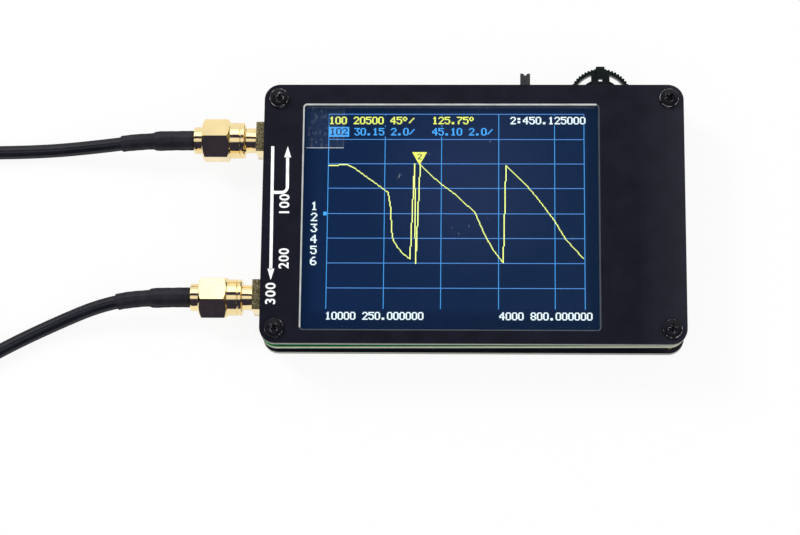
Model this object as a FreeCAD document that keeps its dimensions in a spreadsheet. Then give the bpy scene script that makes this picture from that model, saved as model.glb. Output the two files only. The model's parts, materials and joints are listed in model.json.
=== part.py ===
import FreeCAD, Part
import math
import os
import re
import Sketcher
from FreeCAD import Placement, Rotation, Vector

# Handheld antenna analyzer: two black panels with a main board between them, a colour
# screen behind a window, two SMA sockets with their test leads, a thumbwheel switch
# and a slide switch.
# Millimetres. +X points away from the sockets, +Y to the thumbwheel edge, +Z out of the
# screen. The origin is the middle of the instrument, on the plane that the heads of the
# rear screws stand on.

doc = FreeCAD.newDocument("AntennaAnalyzer")
sheet = doc.addObject("Spreadsheet::Sheet", "Sizes")
levels = doc.addObject("App::VarSet", "Levels")
nodes = []

# Driving dimensions.
sizes = {
    # panels and main board
    "left_margin": 5.8,
    "right_margin": 10.5,
    "lower_margin": 1.65,
    "upper_margin": 2.35,
    "panel_thickness": 1.6,
    "panel_corner_radius": 3.2,
    "main_board_setback": 0.3,
    "main_board_thickness": 1.6,
    "window_left_border": 1.4,
    "window_right_border": 1.35,
    "window_lower_border": 1.85,
    "window_upper_border": 1.85,
    "window_corner_radius": 0.5,
    # screws and standoffs in the four corners
    "corner_inset": 3.0,
    "screw_head_diameter": 4.3,
    "screw_head_height": 1.3,
    "screw_thread_diameter": 2.5,
    "screw_grip": 1.3,
    "screw_hole_clearance": 0.1,
    "thread_clearance": 0.05,
    "standoff_width": 4.0,
    # screen
    "screen_length": 57.6,
    "screen_width": 43.2,
    "screen_plain_border": 3.6,
    "screen_driver_border": 8.0,
    "screen_side_border": 3.4,
    "backlight_thickness": 2.2,
    "backlight_rim": 0.8,
    "glass_thickness": 0.8,
    "glass_clearance": 0.2,
    "touch_thickness": 0.65,
    "touch_inset": 0.3,
    "touch_gap": 0.05,
    "film_thickness": 0.1,
    "film_margin": 0.5,
    "tab_length": 7.5,
    "tab_width": 8.45,
    "tab_inset": 0.2,
    "flex_width": 22.0,
    "flex_thickness": 0.15,
    "flex_height": 1.1,
    "flex_reach": 7.0,
    "flex_slope": 1.6,
    "flex_landing": 3.4,
    # battery and its leads
    "battery_length": 34.0,
    "battery_width": 25.0,
    "battery_gap": 0.3,
    "battery_edge_radius": 1.2,
    "battery_x": 0.0,
    "battery_y": -11.0,
    "tab_strip_width": 2.0,
    "tab_strip_thickness": 0.15,
    "tab_strip_spacing": 12.0,
    "tab_strip_reach": 1.5,
    "tab_strip_foot": 2.5,
    # parts on the back of the main board
    "shield_length": 16.0,
    "shield_width": 16.0,
    "shield_height": 2.4,
    "shield_wall": 0.3,
    "shield_x": -30.0,
    "shield_y": 14.0,
    "processor_width": 7.0,
    "processor_height": 1.4,
    "processor_x": 2.0,
    "processor_y": 12.0,
    "codec_width": 5.0,
    "codec_height": 0.9,
    "codec_x": -10.0,
    "codec_y": 12.0,
    "synthesizer_width": 3.0,
    "synthesizer_height": 1.1,
    "synthesizer_x": -10.0,
    "synthesizer_y": 20.0,
    "oscillator_length": 3.2,
    "oscillator_width": 2.5,
    "oscillator_height": 0.9,
    "oscillator_x": -16.0,
    "oscillator_y": 19.0,
    "power_chip_length": 2.9,
    "power_chip_width": 1.6,
    "power_chip_height": 1.1,
    "power_chip_x": 30.0,
    "power_chip_y": 4.0,
    "power_chip_spacing": 5.0,
    "light_length": 1.6,
    "light_width": 0.8,
    "light_height": 0.6,
    "light_x": 36.0,
    "light_y": 10.0,
    "light_spacing": 2.5,
    "passive_length": 1.6,
    "passive_width": 0.8,
    "passive_height": 0.5,
    "passive_x": 8.5,
    "passive_y": 8.0,
    "passive_spacing": 2.8,
    # USB-C socket in the right edge
    "usb_width": 8.94,
    "usb_height": 3.16,
    "usb_length": 7.35,
    "usb_wall": 0.3,
    "usb_corner_radius": 1.25,
    "usb_overhang": 0.55,
    "usb_y": -8.0,
    "usb_back_thickness": 1.6,
    "usb_gap": 0.14,
    "tongue_width": 6.7,
    "tongue_thickness": 0.7,
    "tongue_inset": 0.8,
    # slide switch
    "switch_length": 8.6,
    "switch_width": 4.4,
    "switch_gap": 0.3,
    "switch_wall": 0.5,
    "switch_spacing": 14.55,
    "switch_setback": 0.3,
    "knob_width": 2.06,
    "knob_thickness": 1.4,
    "knob_reach": 5.2,
    "knob_notch_width": 0.95,
    "knob_notch_depth": 0.5,
    "knob_travel": 2.0,
    "knob_clearance": 0.3,
    # thumbwheel switch
    "wheel_inset": 16.55,
    "wheel_setback": 1.0,
    "wheel_radius": 6.6,
    "wheel_rim": 0.85,
    "wheel_teeth": 56,
    "wheel_tooth_width": 0.5,
    "wheel_tooth_depth": 0.32,
    "wheel_rim_thickness": 1.9,
    "wheel_web_thickness": 1.0,
    "wheel_clearance": 0.45,
    "wheel_block_width": 3.8,
    "wheel_block_depth": 0.75,
    "wheel_eye_diameter": 3.4,
    "wheel_rim_ends": 1.7,
    "wheel_bar_width": 1.8,
    "wheel_bar_height": 0.45,
    "wheel_window_width": 0.76,
    "wheel_window_length": 0.6,
    "wheel_window_y": 4.15,
    "wheel_groove_width": 0.2,
    "wheel_groove_depth": 0.3,
    "wheel_groove_x": -0.95,
    "wheel_groove_y": 4.6,
    "wheel_groove_length": 1.3,
    "wheel_travel": 0.6,
    "pivot_diameter": 1.4,
    "pivot_fit": 0.05,
    "pivot_tip_gap": 0.1,
    "nose_radius": 4.7,
    "nose_gap": 0.3,
    "housing_gap": 0.25,
    "housing_length": 9.0,
    "housing_width": 5.0,
    "housing_setback": 3.7,
    "channel_width": 3.2,
    "channel_depth": 0.9,
    "channel_back": 2.6,
    "channel_front": 2.0,
    "carriage_fit": 0.1,
    "carriage_back": 1.6,
    "carriage_front": 1.7,
    # SMA sockets
    "upper_socket_y": 16.97,
    "lower_socket_y": -16.3,
    "flange_width": 6.35,
    "flange_thickness": 1.95,
    "neck_diameter": 5.2,
    "neck_length": 2.3,
    "socket_thread_diameter": 6.2,
    "barrel_length": 9.5,
    "mating_depth": 1.9,
    "mating_bore": 4.66,
    "insulator_diameter": 4.1,
    "contact_diameter": 1.27,
    "contact_bore": 0.96,
    "contact_bore_depth": 3.0,
    "contact_tail_diameter": 0.966,
    "contact_tail_length": 3.2,
    "leg_length": 4.0,
    "leg_width": 1.0,
    # SMA plugs
    "plug_length": 5.8,
    "plug_sleeve_diameter": 4.55,
    "plug_sleeve_length": 2.1,
    "plug_shoulder_diameter": 6.0,
    "plug_shoulder_length": 0.8,
    "plug_body_diameter": 5.6,
    "pin_diameter": 0.91,
    "pin_reach": 2.0,
    "nut_reach": 5.15,
    "nut_nose_diameter": 7.45,
    "nut_nose_length": 3.1,
    "nut_hex_width": 8.0,
    "nut_hex_length": 5.7,
    "nut_bore": 6.3,
    "nut_fit": 0.05,
    "nut_lip_gap": 0.1,
    # leads
    "cable_diameter": 2.8,
    "cable_lay": 0.05,
    "cable_sides": 8,
    "sleeve_thick_diameter": 4.05,
    "sleeve_thick_length": 8.3,
    "sleeve_thin_diameter": 3.4,
    "sleeve_length": 15.3,
    "sleeve_fit": 0.02,
    "coil_radius": 14.0,
    "coil_spread": 0.7,
    "coil_climb": 3.3,
    "coil_entry": 9.5,
    "coil_tail": 11.5,
    "coil_sides": 24,
}

# Heights and places that follow from the sizes.
places = {
    "module_length": "screen_length + screen_plain_border + screen_driver_border",
    "module_width": "screen_width + 2 * screen_side_border",
    "panel_length": "module_length + left_margin + right_margin",
    "panel_width": "module_width + lower_margin + upper_margin",
    "main_board_width": "panel_width - 2 * main_board_setback",
    "module_x": "(left_margin - right_margin) / 2",
    "screen_center_x": "module_x - (screen_driver_border - screen_plain_border) / 2",
    "screen_center_y": "(lower_margin - upper_margin) / 2",
    "window_length": "screen_length + window_left_border + window_right_border",
    "window_width": "screen_width + window_lower_border + window_upper_border",
    "window_center_x": "screen_center_x + (window_right_border - window_left_border) / 2",
    "window_center_y": "screen_center_y + (window_upper_border - window_lower_border) / 2",
    "wheel_x": "panel_length / 2 - wheel_inset",
    "wheel_y": "panel_width / 2 - wheel_setback",
    "switch_x": "wheel_x - switch_spacing",
    "back_panel_top": "screw_head_height + panel_thickness",
    "back_gap": "usb_height + usb_gap",
    "board_bottom": "back_panel_top + back_gap",
    "board_top": "board_bottom + main_board_thickness",
    "front_gap": "backlight_thickness + touch_thickness + touch_gap",
    "front_panel_base": "board_top + front_gap",
    "front_panel_top": "front_panel_base + panel_thickness",
    "front_screw_length": "panel_thickness + screw_grip",
    "back_screw_length": "board_top + screw_grip - screw_head_height",
    "corner_x": "panel_length / 2 - corner_inset",
    "corner_y": "panel_width / 2 - corner_inset",
    "socket_axis": "board_bottom - contact_tail_diameter / 2 / cos(15)",
    "socket_end": "flange_thickness + barrel_length",
    "mating_plane": "panel_length / 2 + socket_end - mating_depth",
    "collar_end": "mating_plane + plug_length",
    "module_end": "module_x + module_length / 2",
    "backlight_top": "board_top + backlight_thickness",
    "touch_top": "backlight_top + touch_thickness",
    "battery_thickness": "back_gap - battery_gap",
    "switch_front": "main_board_width / 2 - switch_setback",
    "switch_height": "back_gap - switch_gap",
    "slider_length": "switch_length - 2 * switch_wall - knob_travel - 2 * knob_clearance",
    "slider_width": "switch_width - 2 * switch_wall - 2 * knob_clearance",
    "slider_thickness": "switch_height - switch_wall - 2 * knob_clearance",
    "wheel_top": "board_bottom - wheel_clearance",
    "nose_top": "wheel_top - wheel_web_thickness - nose_gap",
    "housing_base": "back_panel_top + housing_gap",
    "nose_thickness": "nose_top - housing_base",
    "carriage_base": "nose_top - channel_depth + carriage_fit",
    "carriage_thickness": "channel_depth - 2 * carriage_fit",
    "cable_height": "cable_diameter / 2 + cable_lay",
    "coil_exit_height": "cable_height + coil_climb",
}

# Hand-laid routes of the two leads, after the straight start at each plug. The third
# number is the height above where the cable lies on the table.
straight_start = 9.3
upper_route = [
    (-77.0, 16.25, 2.45),
    (-88.0, 15.85, 0.05),
    (-99.5, 15.5, 0.0),
    (-110.5, 15.5, 0.0),
]
lower_route = [
    (-76.2, -17.6, 2.55),
    (-85.5, -21.0, 0.25),
    (-94.8, -25.5, 0.0),
    (-101.0, -29.1, 0.0),
]
bend_share = 0.45
# Bores, shanks and pins that lie hidden are prisms with this many sides.
hidden_sides = 12
# Where each nut came to rest when it was tightened: degrees from a corner lying level.
tightened = {"upper": 27, "lower": 14, "upper_far": 0, "lower_far": 0}


def formula(text):
    """Put the sheet's or the variable set's name before each alias in a formula."""

    def owner(word):
        name = word.group(0)
        if name in sizes:
            return "Sizes." + name
        if name in places:
            return "Levels." + name
        return name

    return re.sub(r"[a-z][a-z_]+", owner, text)


def bind(thing, path, text):
    thing.setExpression(path, formula(text))


def fill_sheet():
    for row, (alias, value) in enumerate(sizes.items(), start=1):
        sheet.set(f"A{row}", alias)
        sheet.set(f"B{row}", str(value))
        sheet.setAlias(f"B{row}", alias)
    doc.recompute()
    for name, text in places.items():
        levels.addProperty("App::PropertyFloat", name)
        bind(levels, name, text)
        doc.recompute()


def value(name):
    """The number behind a size or a place."""
    return float(sheet.get(name)) if name in sizes else float(getattr(levels, name))


def node(thing, name):
    thing.Label = name
    nodes.append(thing)
    return thing


def put(thing, x="0", y="0", z="0", turn=None):
    """Place a sub-part by formulas, turned by an (axis, degrees) pair."""
    if turn:
        thing.Placement = Placement(Vector(), Rotation(*turn))
    bind(thing, "Placement.Base.x", x)
    bind(thing, "Placement.Base.y", y)
    bind(thing, "Placement.Base.z", z)
    return thing


def body(name):
    return doc.addObject("PartDesign::Body", name)


def sketch(owner, role="XY_Plane", height=None):
    made = owner.newObject("Sketcher::SketchObject", owner.Name + "Sketch")
    plane = next(item for item in owner.Origin.OriginFeatures if item.Role == role)
    made.AttachmentSupport = (plane, [""])
    made.MapMode = "FlatFace"
    if height:
        bind(made, "AttachmentOffset.Base.z", height)
    return made


def hold(drawing, kind, geometry, corner, text, start):
    """Constrain one coordinate of a point, from the sketch's origin."""
    index = drawing.addConstraint(Sketcher.Constraint(kind, -1, 1, geometry, corner, start))
    bind(drawing, f"Constraints[{index}]", text)


def polygon(drawing, corners):
    """A closed outline with each corner held by a pair of formulas."""
    count = len(corners)
    first = drawing.GeometryCount
    step = 2 * math.pi / count
    start = [Vector(math.cos(step * k), math.sin(step * k), 0) for k in range(count)]
    for k in range(count):
        drawing.addGeometry(Part.LineSegment(start[k], start[(k + 1) % count]))
    for k, (x, y) in enumerate(corners):
        following = first + (k + 1) % count
        drawing.addConstraint(Sketcher.Constraint("Coincident", first + k, 2, following, 1))
        hold(drawing, "DistanceX", first + k, 1, x, start[k].x)
        hold(drawing, "DistanceY", first + k, 1, y, start[k].y)
    return drawing


def rectangle(drawing, length, width, x="0", y="0"):
    left, right = f"{x} - ({length}) / 2", f"{x} + ({length}) / 2"
    low, high = f"{y} - ({width}) / 2", f"{y} + ({width}) / 2"
    return polygon(drawing, [(left, low), (right, low), (right, high), (left, high)])


def flats(drawing, width, sides=6, turned=0):
    """A regular outline with an even number of flat sides, measured across them."""
    step = 360 / sides
    reach = f"({width}) / 2 / cos({step / 2})"
    turns = [turned + step * k for k in range(sides)]
    return polygon(drawing, [(f"{reach} * cos({a})", f"{reach} * sin({a})") for a in turns])


def circle(drawing, diameter, x="0", y="0"):
    index = drawing.addGeometry(Part.Circle(Vector(), Vector(0, 0, 1), 1))
    hold(drawing, "DistanceX", index, 3, x, 0)
    hold(drawing, "DistanceY", index, 3, y, 0)
    size = drawing.addConstraint(Sketcher.Constraint("Diameter", index, 2))
    bind(drawing, f"Constraints[{size}]", diameter)
    return drawing


def pad(owner, drawing, length, reverse=False, both=False):
    made = owner.newObject("PartDesign::Pad", owner.Name + "Pad")
    made.Profile = drawing
    made.Reversed = reverse
    if both:
        made.SideType = "Symmetric"
    bind(made, "Length", length)
    doc.recompute()
    return made


def checked_cut(owner, made, before):
    doc.recompute()
    if owner.Shape.Volume >= before:
        raise RuntimeError(f"{made.Name} removes nothing from {owner.Name}")
    return made


def cut(owner, drawing, depth=None, reverse=False):
    """Pocket a sketch, right through where no depth is given."""
    before = owner.Shape.Volume
    made = owner.newObject("PartDesign::Pocket", owner.Name + "Pocket")
    made.Profile = drawing
    made.Reversed = reverse
    if depth:
        bind(made, "Length", depth)
    else:
        made.Type = "ThroughAll"
        made.SideType = "Symmetric"
    return checked_cut(owner, made, before)


def revolve(owner, corners, axis="H_Axis"):
    """Turn an outline in the XZ plane round X (H_Axis) or Z (V_Axis)."""
    drawing = polygon(sketch(owner, "XZ_Plane"), corners)
    made = owner.newObject("PartDesign::Revolution", owner.Name + "Revolution")
    made.Profile = drawing
    made.ReferenceAxis = (drawing, [axis])
    made.Angle = 360
    doc.recompute()
    return made


def round_edges(owner, along, radius, keep=lambda point: True):
    """Fillet the straight edges of the newest feature that run along a direction."""
    base = owner.Tip
    names = []
    for number, edge in enumerate(base.Shape.Edges, start=1):
        straight = edge.Curve.TypeId == "Part::GeomLine"
        if straight and edge.Curve.Direction.cross(along).Length < 1e-6 and keep(edge.CenterOfMass):
            names.append(f"Edge{number}")
    made = owner.newObject("PartDesign::Fillet", owner.Name + "Fillet")
    made.Base = (base, names)
    bind(made, "Radius", radius)
    doc.recompute()
    return made


def box(name, length, width, height, x, y, z):
    """A plain block, placed by the middle of its base."""
    made = doc.addObject("Part::Box", name)
    bind(made, "Length", length)
    bind(made, "Width", width)
    bind(made, "Height", height)
    return put(made, f"{x} - ({length}) / 2", f"{y} - ({width}) / 2", z)


def mirrored(source, normal):
    made = doc.addObject("Part::Mirroring", source.Name + "Mirror")
    made.Source = source
    made.Normal = normal
    return made


def group(name, members):
    made = doc.addObject("Part::Compound", name)
    made.Links = members
    return node(made, name)


def four_corners(name, source):
    """The same piece in all four corners, as separate solids."""
    beside = mirrored(source, Vector(1, 0, 0))
    below = mirrored(source, Vector(0, 1, 0))
    opposite = mirrored(beside, Vector(0, 1, 0))
    return group(name, [source, beside, below, opposite])


up = Vector(0, 0, 1)
along_x = Vector(1, 0, 0)
half_turn = (up, 180)
upside_down = (along_x, 180)


def board(name, base, width, thickness):
    """A circuit board with rounded corners and four screw holes."""
    made = put(body(name), z=base)
    pad(made, rectangle(sketch(made), "panel_length", width), thickness)
    round_edges(made, up, "panel_corner_radius")
    holes = sketch(made)
    for x in ("corner_x", "-corner_x"):
        for y in ("corner_y", "-corner_y"):
            circle(holes, "screw_thread_diameter + 2 * screw_hole_clearance", x, y)
    cut(made, holes)
    return node(made, name)


def front_panel():
    made = board("front_panel", "front_panel_base", "panel_width", "panel_thickness")
    window = sketch(made)
    rectangle(window, "window_length", "window_width", "window_center_x", "window_center_y")
    cut(made, window)
    inside = value("window_length") / 2 + abs(value("window_center_x"))
    tall = value("window_width") / 2 + abs(value("window_center_y"))

    def in_window(point):
        return abs(point.x) <= inside and abs(point.y) <= tall

    round_edges(made, up, "window_corner_radius", in_window)


def screw(name, length):
    """Pan-head screw, standing on the underside of its head."""
    made = body(name)
    pad(made, circle(sketch(made), "screw_head_diameter"), "screw_head_height")
    shank = flats(sketch(made), "screw_thread_diameter", hidden_sides)
    pad(made, shank, length, reverse=True)
    return made


def front_screws():
    made = screw("front_screw", "front_screw_length")
    put(made, "corner_x", "corner_y", "front_panel_top")
    four_corners("front_screws", made)


def back_screws():
    made = screw("back_screw", "back_screw_length")
    put(made, "corner_x", "corner_y", "screw_head_height", upside_down)
    four_corners("back_screws", made)


def standoffs(name, base, height, clearance):
    """Hexagon pillars, tapped or plain, with the screws through them."""
    made = put(body(name + "_pillar"), "corner_x", "corner_y", base)
    pad(made, flats(sketch(made), "standoff_width"), height)
    cut(made, flats(sketch(made), f"screw_thread_diameter + 2 * {clearance}", hidden_sides))
    four_corners(name, made)


def screen():
    tray = put(body("lcd_backlight"), "module_x", "screen_center_y", "board_top")
    pad(tray, rectangle(sketch(tray), "module_length", "module_width"), "backlight_thickness")
    inner_length = "module_length - 2 * backlight_rim"
    inner_width = "module_width - 2 * backlight_rim"
    well = rectangle(sketch(tray, height="backlight_thickness"), inner_length, inner_width)
    cut(tray, well, "glass_thickness")
    node(tray, "lcd_backlight")

    glass = box(
        "lcd_glass",
        inner_length + " - 2 * glass_clearance",
        inner_width + " - 2 * glass_clearance",
        "glass_thickness",
        "module_x",
        "screen_center_y",
        "backlight_top - glass_thickness",
    )
    node(glass, "lcd_glass")

    touch = box(
        "touch_panel",
        "module_length - 2 * touch_inset",
        "module_width - 2 * touch_inset",
        "touch_thickness",
        "module_x",
        "screen_center_y",
        "backlight_top",
    )
    node(touch, "touch_panel")


def screen_film():
    """The protective film in the window, with its pull tab in the upper left corner."""
    made = put(body("screen_film"), "window_center_x", "window_center_y", "touch_top")
    length = "(window_length - 2 * film_margin)"
    width = "(window_width - 2 * film_margin)"
    pad(made, rectangle(sketch(made), length, width), "film_thickness")
    tab = sketch(made, height="film_thickness")
    x = f"-{length} / 2 + tab_inset + tab_length / 2"
    y = f"{width} / 2 - tab_inset - tab_width / 2"
    rectangle(tab, "tab_length", "tab_width", x, y)
    pad(made, tab, "film_thickness")
    node(made, "screen_film")


def screen_flex():
    """The ribbon from the end of the screen down to the front of the main board."""
    made = put(body("lcd_flex"), "module_end", "screen_center_y", "board_top")
    level = "(flex_reach - flex_slope - flex_landing)"
    foot = f"({level} + flex_slope)"
    strip = [
        ("0", "flex_height"),
        (level, "flex_height"),
        (foot, "0"),
        ("flex_reach", "0"),
        ("flex_reach", "flex_thickness"),
        (f"{foot} + flex_thickness / 2", "flex_thickness"),
        (f"{level} + flex_thickness / 2", "flex_height + flex_thickness"),
        ("0", "flex_height + flex_thickness"),
    ]
    pad(made, polygon(sketch(made, "XZ_Plane"), strip), "flex_width", both=True)
    node(made, "lcd_flex")


def battery():
    """A flat pouch cell stuck to the back of the main board."""
    made = put(body("battery_cell"), "battery_x", "battery_y", "board_bottom - battery_thickness")
    pad(made, rectangle(sketch(made), "battery_length", "battery_width"), "battery_thickness")
    round_edges(made, along_x, "battery_edge_radius")
    node(made, "battery_cell")


def on_board_back(name, length, width, height, x, y):
    return box(name, length, width, height, x, y, f"board_bottom - {height}")


def shields():
    """Two pressed cans, open towards the main board."""
    made = put(body("rf_shield"), "shield_x", "shield_y", "board_bottom - shield_height")
    pad(made, rectangle(sketch(made), "shield_length", "shield_width"), "shield_height")
    inner = rectangle(
        sketch(made, height="shield_wall"),
        "shield_length - 2 * shield_wall",
        "shield_width - 2 * shield_wall",
    )
    cut(made, inner, "shield_height - shield_wall", reverse=True)
    group("rf_shields", [made, mirrored(made, Vector(0, 1, 0))])


def chips():
    for name in ("processor", "codec", "synthesizer"):
        width = f"{name}_width"
        chip = on_board_back(name, width, width, f"{name}_height", f"{name}_x", f"{name}_y")
        node(chip, name + "_chip")
    can = ("oscillator_length", "oscillator_width", "oscillator_height")
    node(on_board_back("oscillator", *can, "oscillator_x", "oscillator_y"), "oscillator")


def repeated(name, kind, count, rows=1):
    """Equal small parts in a grid on the back of the main board."""
    block = (f"{kind}_length", f"{kind}_width", f"{kind}_height")
    members = []
    for row in range(rows):
        for column in range(count):
            x = f"{kind}_x + {row} * {kind}_spacing"
            y = f"{kind}_y + {column} * {kind}_spacing"
            members.append(on_board_back(kind, *block, x, y))
    group(name, members)


def usb_socket():
    shell = body("usb_shell")
    front = "panel_length / 2 + usb_overhang"
    middle = "board_bottom - usb_height / 2"
    put(shell, f"{front} - usb_length", "usb_y", middle)
    pad(shell, rectangle(sketch(shell, "YZ_Plane"), "usb_width", "usb_height"), "usb_length")
    mouth = sketch(shell, "YZ_Plane")
    rectangle(mouth, "usb_width - 2 * usb_wall", "usb_height - 2 * usb_wall")
    cut(shell, mouth)
    reach_y = value("usb_width") / 2 - value("usb_wall") / 2
    reach_z = value("usb_height") / 2 - value("usb_wall") / 2

    def inside(point):
        return abs(point.y) < reach_y and abs(point.z) < reach_z

    round_edges(shell, along_x, "usb_corner_radius - usb_wall", inside)
    round_edges(shell, along_x, "usb_corner_radius", lambda point: not inside(point))
    node(shell, "usb_shell")

    tongue = put(body("usb_tongue"), f"{front} - usb_length", "usb_y", middle)
    block = sketch(tongue, "YZ_Plane")
    rectangle(block, "usb_width - 2 * usb_wall", "usb_height - 2 * usb_wall")
    pad(tongue, block, "usb_back_thickness")
    round_edges(tongue, along_x, "usb_corner_radius - usb_wall")
    blade = rectangle(sketch(tongue, "YZ_Plane"), "tongue_width", "tongue_thickness")
    pad(tongue, blade, "usb_length - tongue_inset")
    node(tongue, "usb_tongue")


def slide_switch():
    base = "board_bottom - switch_height"
    middle = "switch_front - switch_width / 2"
    frame = put(body("power_switch_frame"), "switch_x", middle, base)
    pad(frame, rectangle(sketch(frame), "switch_length", "switch_width"), "switch_height")
    well = rectangle(
        sketch(frame, height="switch_wall"),
        "switch_length - 2 * switch_wall",
        "switch_width - 2 * switch_wall",
    )
    cut(frame, well, "switch_height - switch_wall", reverse=True)
    slot = rectangle(
        sketch(frame, height="switch_wall + knob_clearance"),
        "knob_width + knob_travel + 2 * knob_clearance",
        "switch_width",
        y="switch_width / 2",
    )
    cut(frame, slot, "slider_thickness + 2 * knob_clearance", reverse=True)
    node(frame, "power_switch_frame")

    # The knob stands at one end of its travel.
    knob = body("power_switch_knob")
    level = f"{base} + switch_wall + knob_clearance"
    put(knob, "switch_x - knob_travel / 2", middle, level)
    pad(knob, rectangle(sketch(knob), "slider_length", "slider_width"), "slider_thickness")
    stem = sketch(knob, height="(slider_thickness - knob_thickness) / 2")
    tip = "(switch_width / 2 + knob_reach)"
    side = "knob_width / 2"
    outline = [
        (f"-{side}", "0"),
        (side, "0"),
        (side, tip),
        ("knob_notch_width / 2", tip),
        ("0", f"{tip} - knob_notch_depth"),
        ("-knob_notch_width / 2", tip),
        (f"-{side}", tip),
    ]
    pad(knob, polygon(stem, outline), "knob_thickness")
    node(knob, "power_switch_knob")


def thumbwheel_housing():
    """Fixed case on the back of the board, with a round nose that carries the carriage."""
    made = put(body("jog_housing"), "wheel_x", "wheel_y", "housing_base")
    nose = circle(sketch(made), "2 * nose_radius")
    pad(made, nose, "nose_thickness")
    neck = sketch(made)
    rectangle(neck, "2 * nose_radius", "housing_setback", y="-housing_setback / 2")
    pad(made, neck, "nose_thickness")
    block = sketch(made)
    middle = "-housing_setback - housing_width / 2"
    rectangle(block, "housing_length", "housing_width", y=middle)
    pad(made, block, "board_bottom - housing_base")
    channel = sketch(made, height="nose_thickness")
    length = "channel_front + channel_back"
    rectangle(channel, "channel_width", length, y="(channel_front - channel_back) / 2")
    cut(made, channel, "channel_depth")
    node(made, "jog_housing")


def thumbwheel_carriage():
    """Slides in the nose when the wheel is pressed, and carries the wheel's pivot."""
    made = put(body("jog_carriage"), "wheel_x", "wheel_y", "carriage_base")
    plate = sketch(made)
    length = "carriage_front + carriage_back"
    middle = "(carriage_front - carriage_back) / 2"
    rectangle(plate, "channel_width - 2 * carriage_fit", length, y=middle)
    pad(made, plate, "carriage_thickness")
    pivot = circle(sketch(made), "pivot_diameter")
    pad(made, pivot, "wheel_top - pivot_tip_gap - carriage_base")
    node(made, "jog_carriage")


def thumbwheel():
    """Toothed rim on a web, with the thumb block in front and an eye for the pivot."""
    made = put(body("jog_wheel"), "wheel_x", "wheel_y", "wheel_top - wheel_rim_thickness")
    inner = "(wheel_radius - wheel_rim)"
    rim = sketch(made)
    circle(rim, "2 * wheel_radius")
    circle(rim, f"2 * {inner}")
    pad(made, rim, "wheel_rim_thickness")

    tooth = sketch(made)
    root = "wheel_radius - wheel_tooth_depth"
    outside = "wheel_radius + wheel_tooth_depth"
    notch = [("0", root), ("wheel_tooth_width", outside), ("-wheel_tooth_width", outside)]
    gap = cut(made, polygon(tooth, notch))
    teeth = made.newObject("PartDesign::PolarPattern", "jog_wheel_teeth")
    teeth.Originals = [gap]
    axis = next(item for item in made.Origin.OriginFeatures if item.Role == "Z_Axis")
    teeth.Axis = (axis, [""])
    teeth.Angle = 360
    bind(teeth, "Occurrences", "wheel_teeth")
    made.Tip = teeth
    doc.recompute()

    away = sketch(made)
    rectangle(away, "4 * wheel_radius", "2 * wheel_radius", y="-wheel_rim_ends - wheel_radius")
    cut(made, away)

    web_base = "wheel_rim_thickness - wheel_web_thickness"
    pad(made, circle(sketch(made, height=web_base), "wheel_eye_diameter"), "wheel_web_thickness")
    web = sketch(made, height=web_base)
    rectangle(web, "wheel_block_width", root, y=f"({root}) / 2")
    pad(made, web, "wheel_web_thickness")
    block = sketch(made)
    rectangle(block, "wheel_block_width", "wheel_block_depth", y=f"{root} - wheel_block_depth / 2")
    pad(made, block, "wheel_rim_thickness")
    bar = sketch(made)
    height = "(wheel_tooth_depth + wheel_bar_height)"
    rectangle(bar, "wheel_bar_width", height, y=f"{root} + {height} / 2")
    pad(made, bar, "wheel_rim_thickness")

    cut(made, circle(sketch(made), "pivot_diameter + 2 * pivot_fit"))
    window = sketch(made)
    rectangle(window, "wheel_window_width", "wheel_window_length", y="wheel_window_y")
    cut(made, window)
    for length, width, x, y in (
        ("wheel_groove_width", "wheel_groove_length", "0", "wheel_groove_length / 2"),
        ("wheel_groove_length", "wheel_groove_width", "wheel_groove_length / 2", "0"),
    ):
        mark = sketch(made, height="wheel_rim_thickness")
        rectangle(mark, length, width, f"wheel_groove_x + {x}", f"wheel_groove_y + {y}")
        cut(made, mark, "wheel_groove_depth")
    node(made, "jog_wheel")


def socket(side):
    """Edge-mounted SMA socket; its own X axis runs out of the board's edge."""
    spot = ("-panel_length / 2", f"{side}_socket_y", "socket_axis", half_turn)
    plane = "(socket_end - mating_depth)"

    shell = put(body(side + "_socket"), *spot)
    square = rectangle(sketch(shell, "YZ_Plane"), "flange_width", "flange_width")
    pad(shell, square, "flange_thickness")
    thread = "socket_thread_diameter / 2"
    outline = [
        ("0", "0"),
        ("0", "neck_diameter / 2"),
        ("flange_thickness + neck_length", "neck_diameter / 2"),
        ("flange_thickness + neck_length", thread),
        ("socket_end", thread),
        ("socket_end", "mating_bore / 2"),
        (plane, "mating_bore / 2"),
        (plane, "0"),
    ]
    revolve(shell, outline)
    cut(shell, flats(sketch(shell, "YZ_Plane"), "insulator_diameter", hidden_sides))
    legs = sketch(shell, "YZ_Plane")
    for sign in ("", "-"):
        y = f"{sign}(flange_width - leg_width) / 2"
        rectangle(legs, "leg_width", "leg_width", y, "board_top - socket_axis + leg_width / 2")
        rectangle(legs, "leg_width", "leg_width", y, "board_bottom - socket_axis - leg_width / 2")
    pad(shell, legs, "leg_length", reverse=True)
    node(shell, side + "_socket")

    filling = put(body(side + "_socket_insulator"), *spot)
    pad(filling, flats(sketch(filling, "YZ_Plane"), "insulator_diameter", hidden_sides), plane)
    cut(filling, flats(sketch(filling, "YZ_Plane"), "contact_diameter", hidden_sides))
    node(filling, side + "_socket_insulator")

    contact = put(body(side + "_socket_contact"), *spot)
    pad(contact, flats(sketch(contact, "YZ_Plane"), "contact_diameter", hidden_sides), plane)
    tail = flats(sketch(contact, "YZ_Plane"), "contact_tail_diameter", hidden_sides)
    pad(contact, tail, "contact_tail_length", reverse=True)
    bore = flats(sketch(contact, "YZ_Plane", height=plane), "contact_bore", hidden_sides)
    cut(contact, bore, "contact_bore_depth")
    node(contact, side + "_socket_contact")


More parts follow.
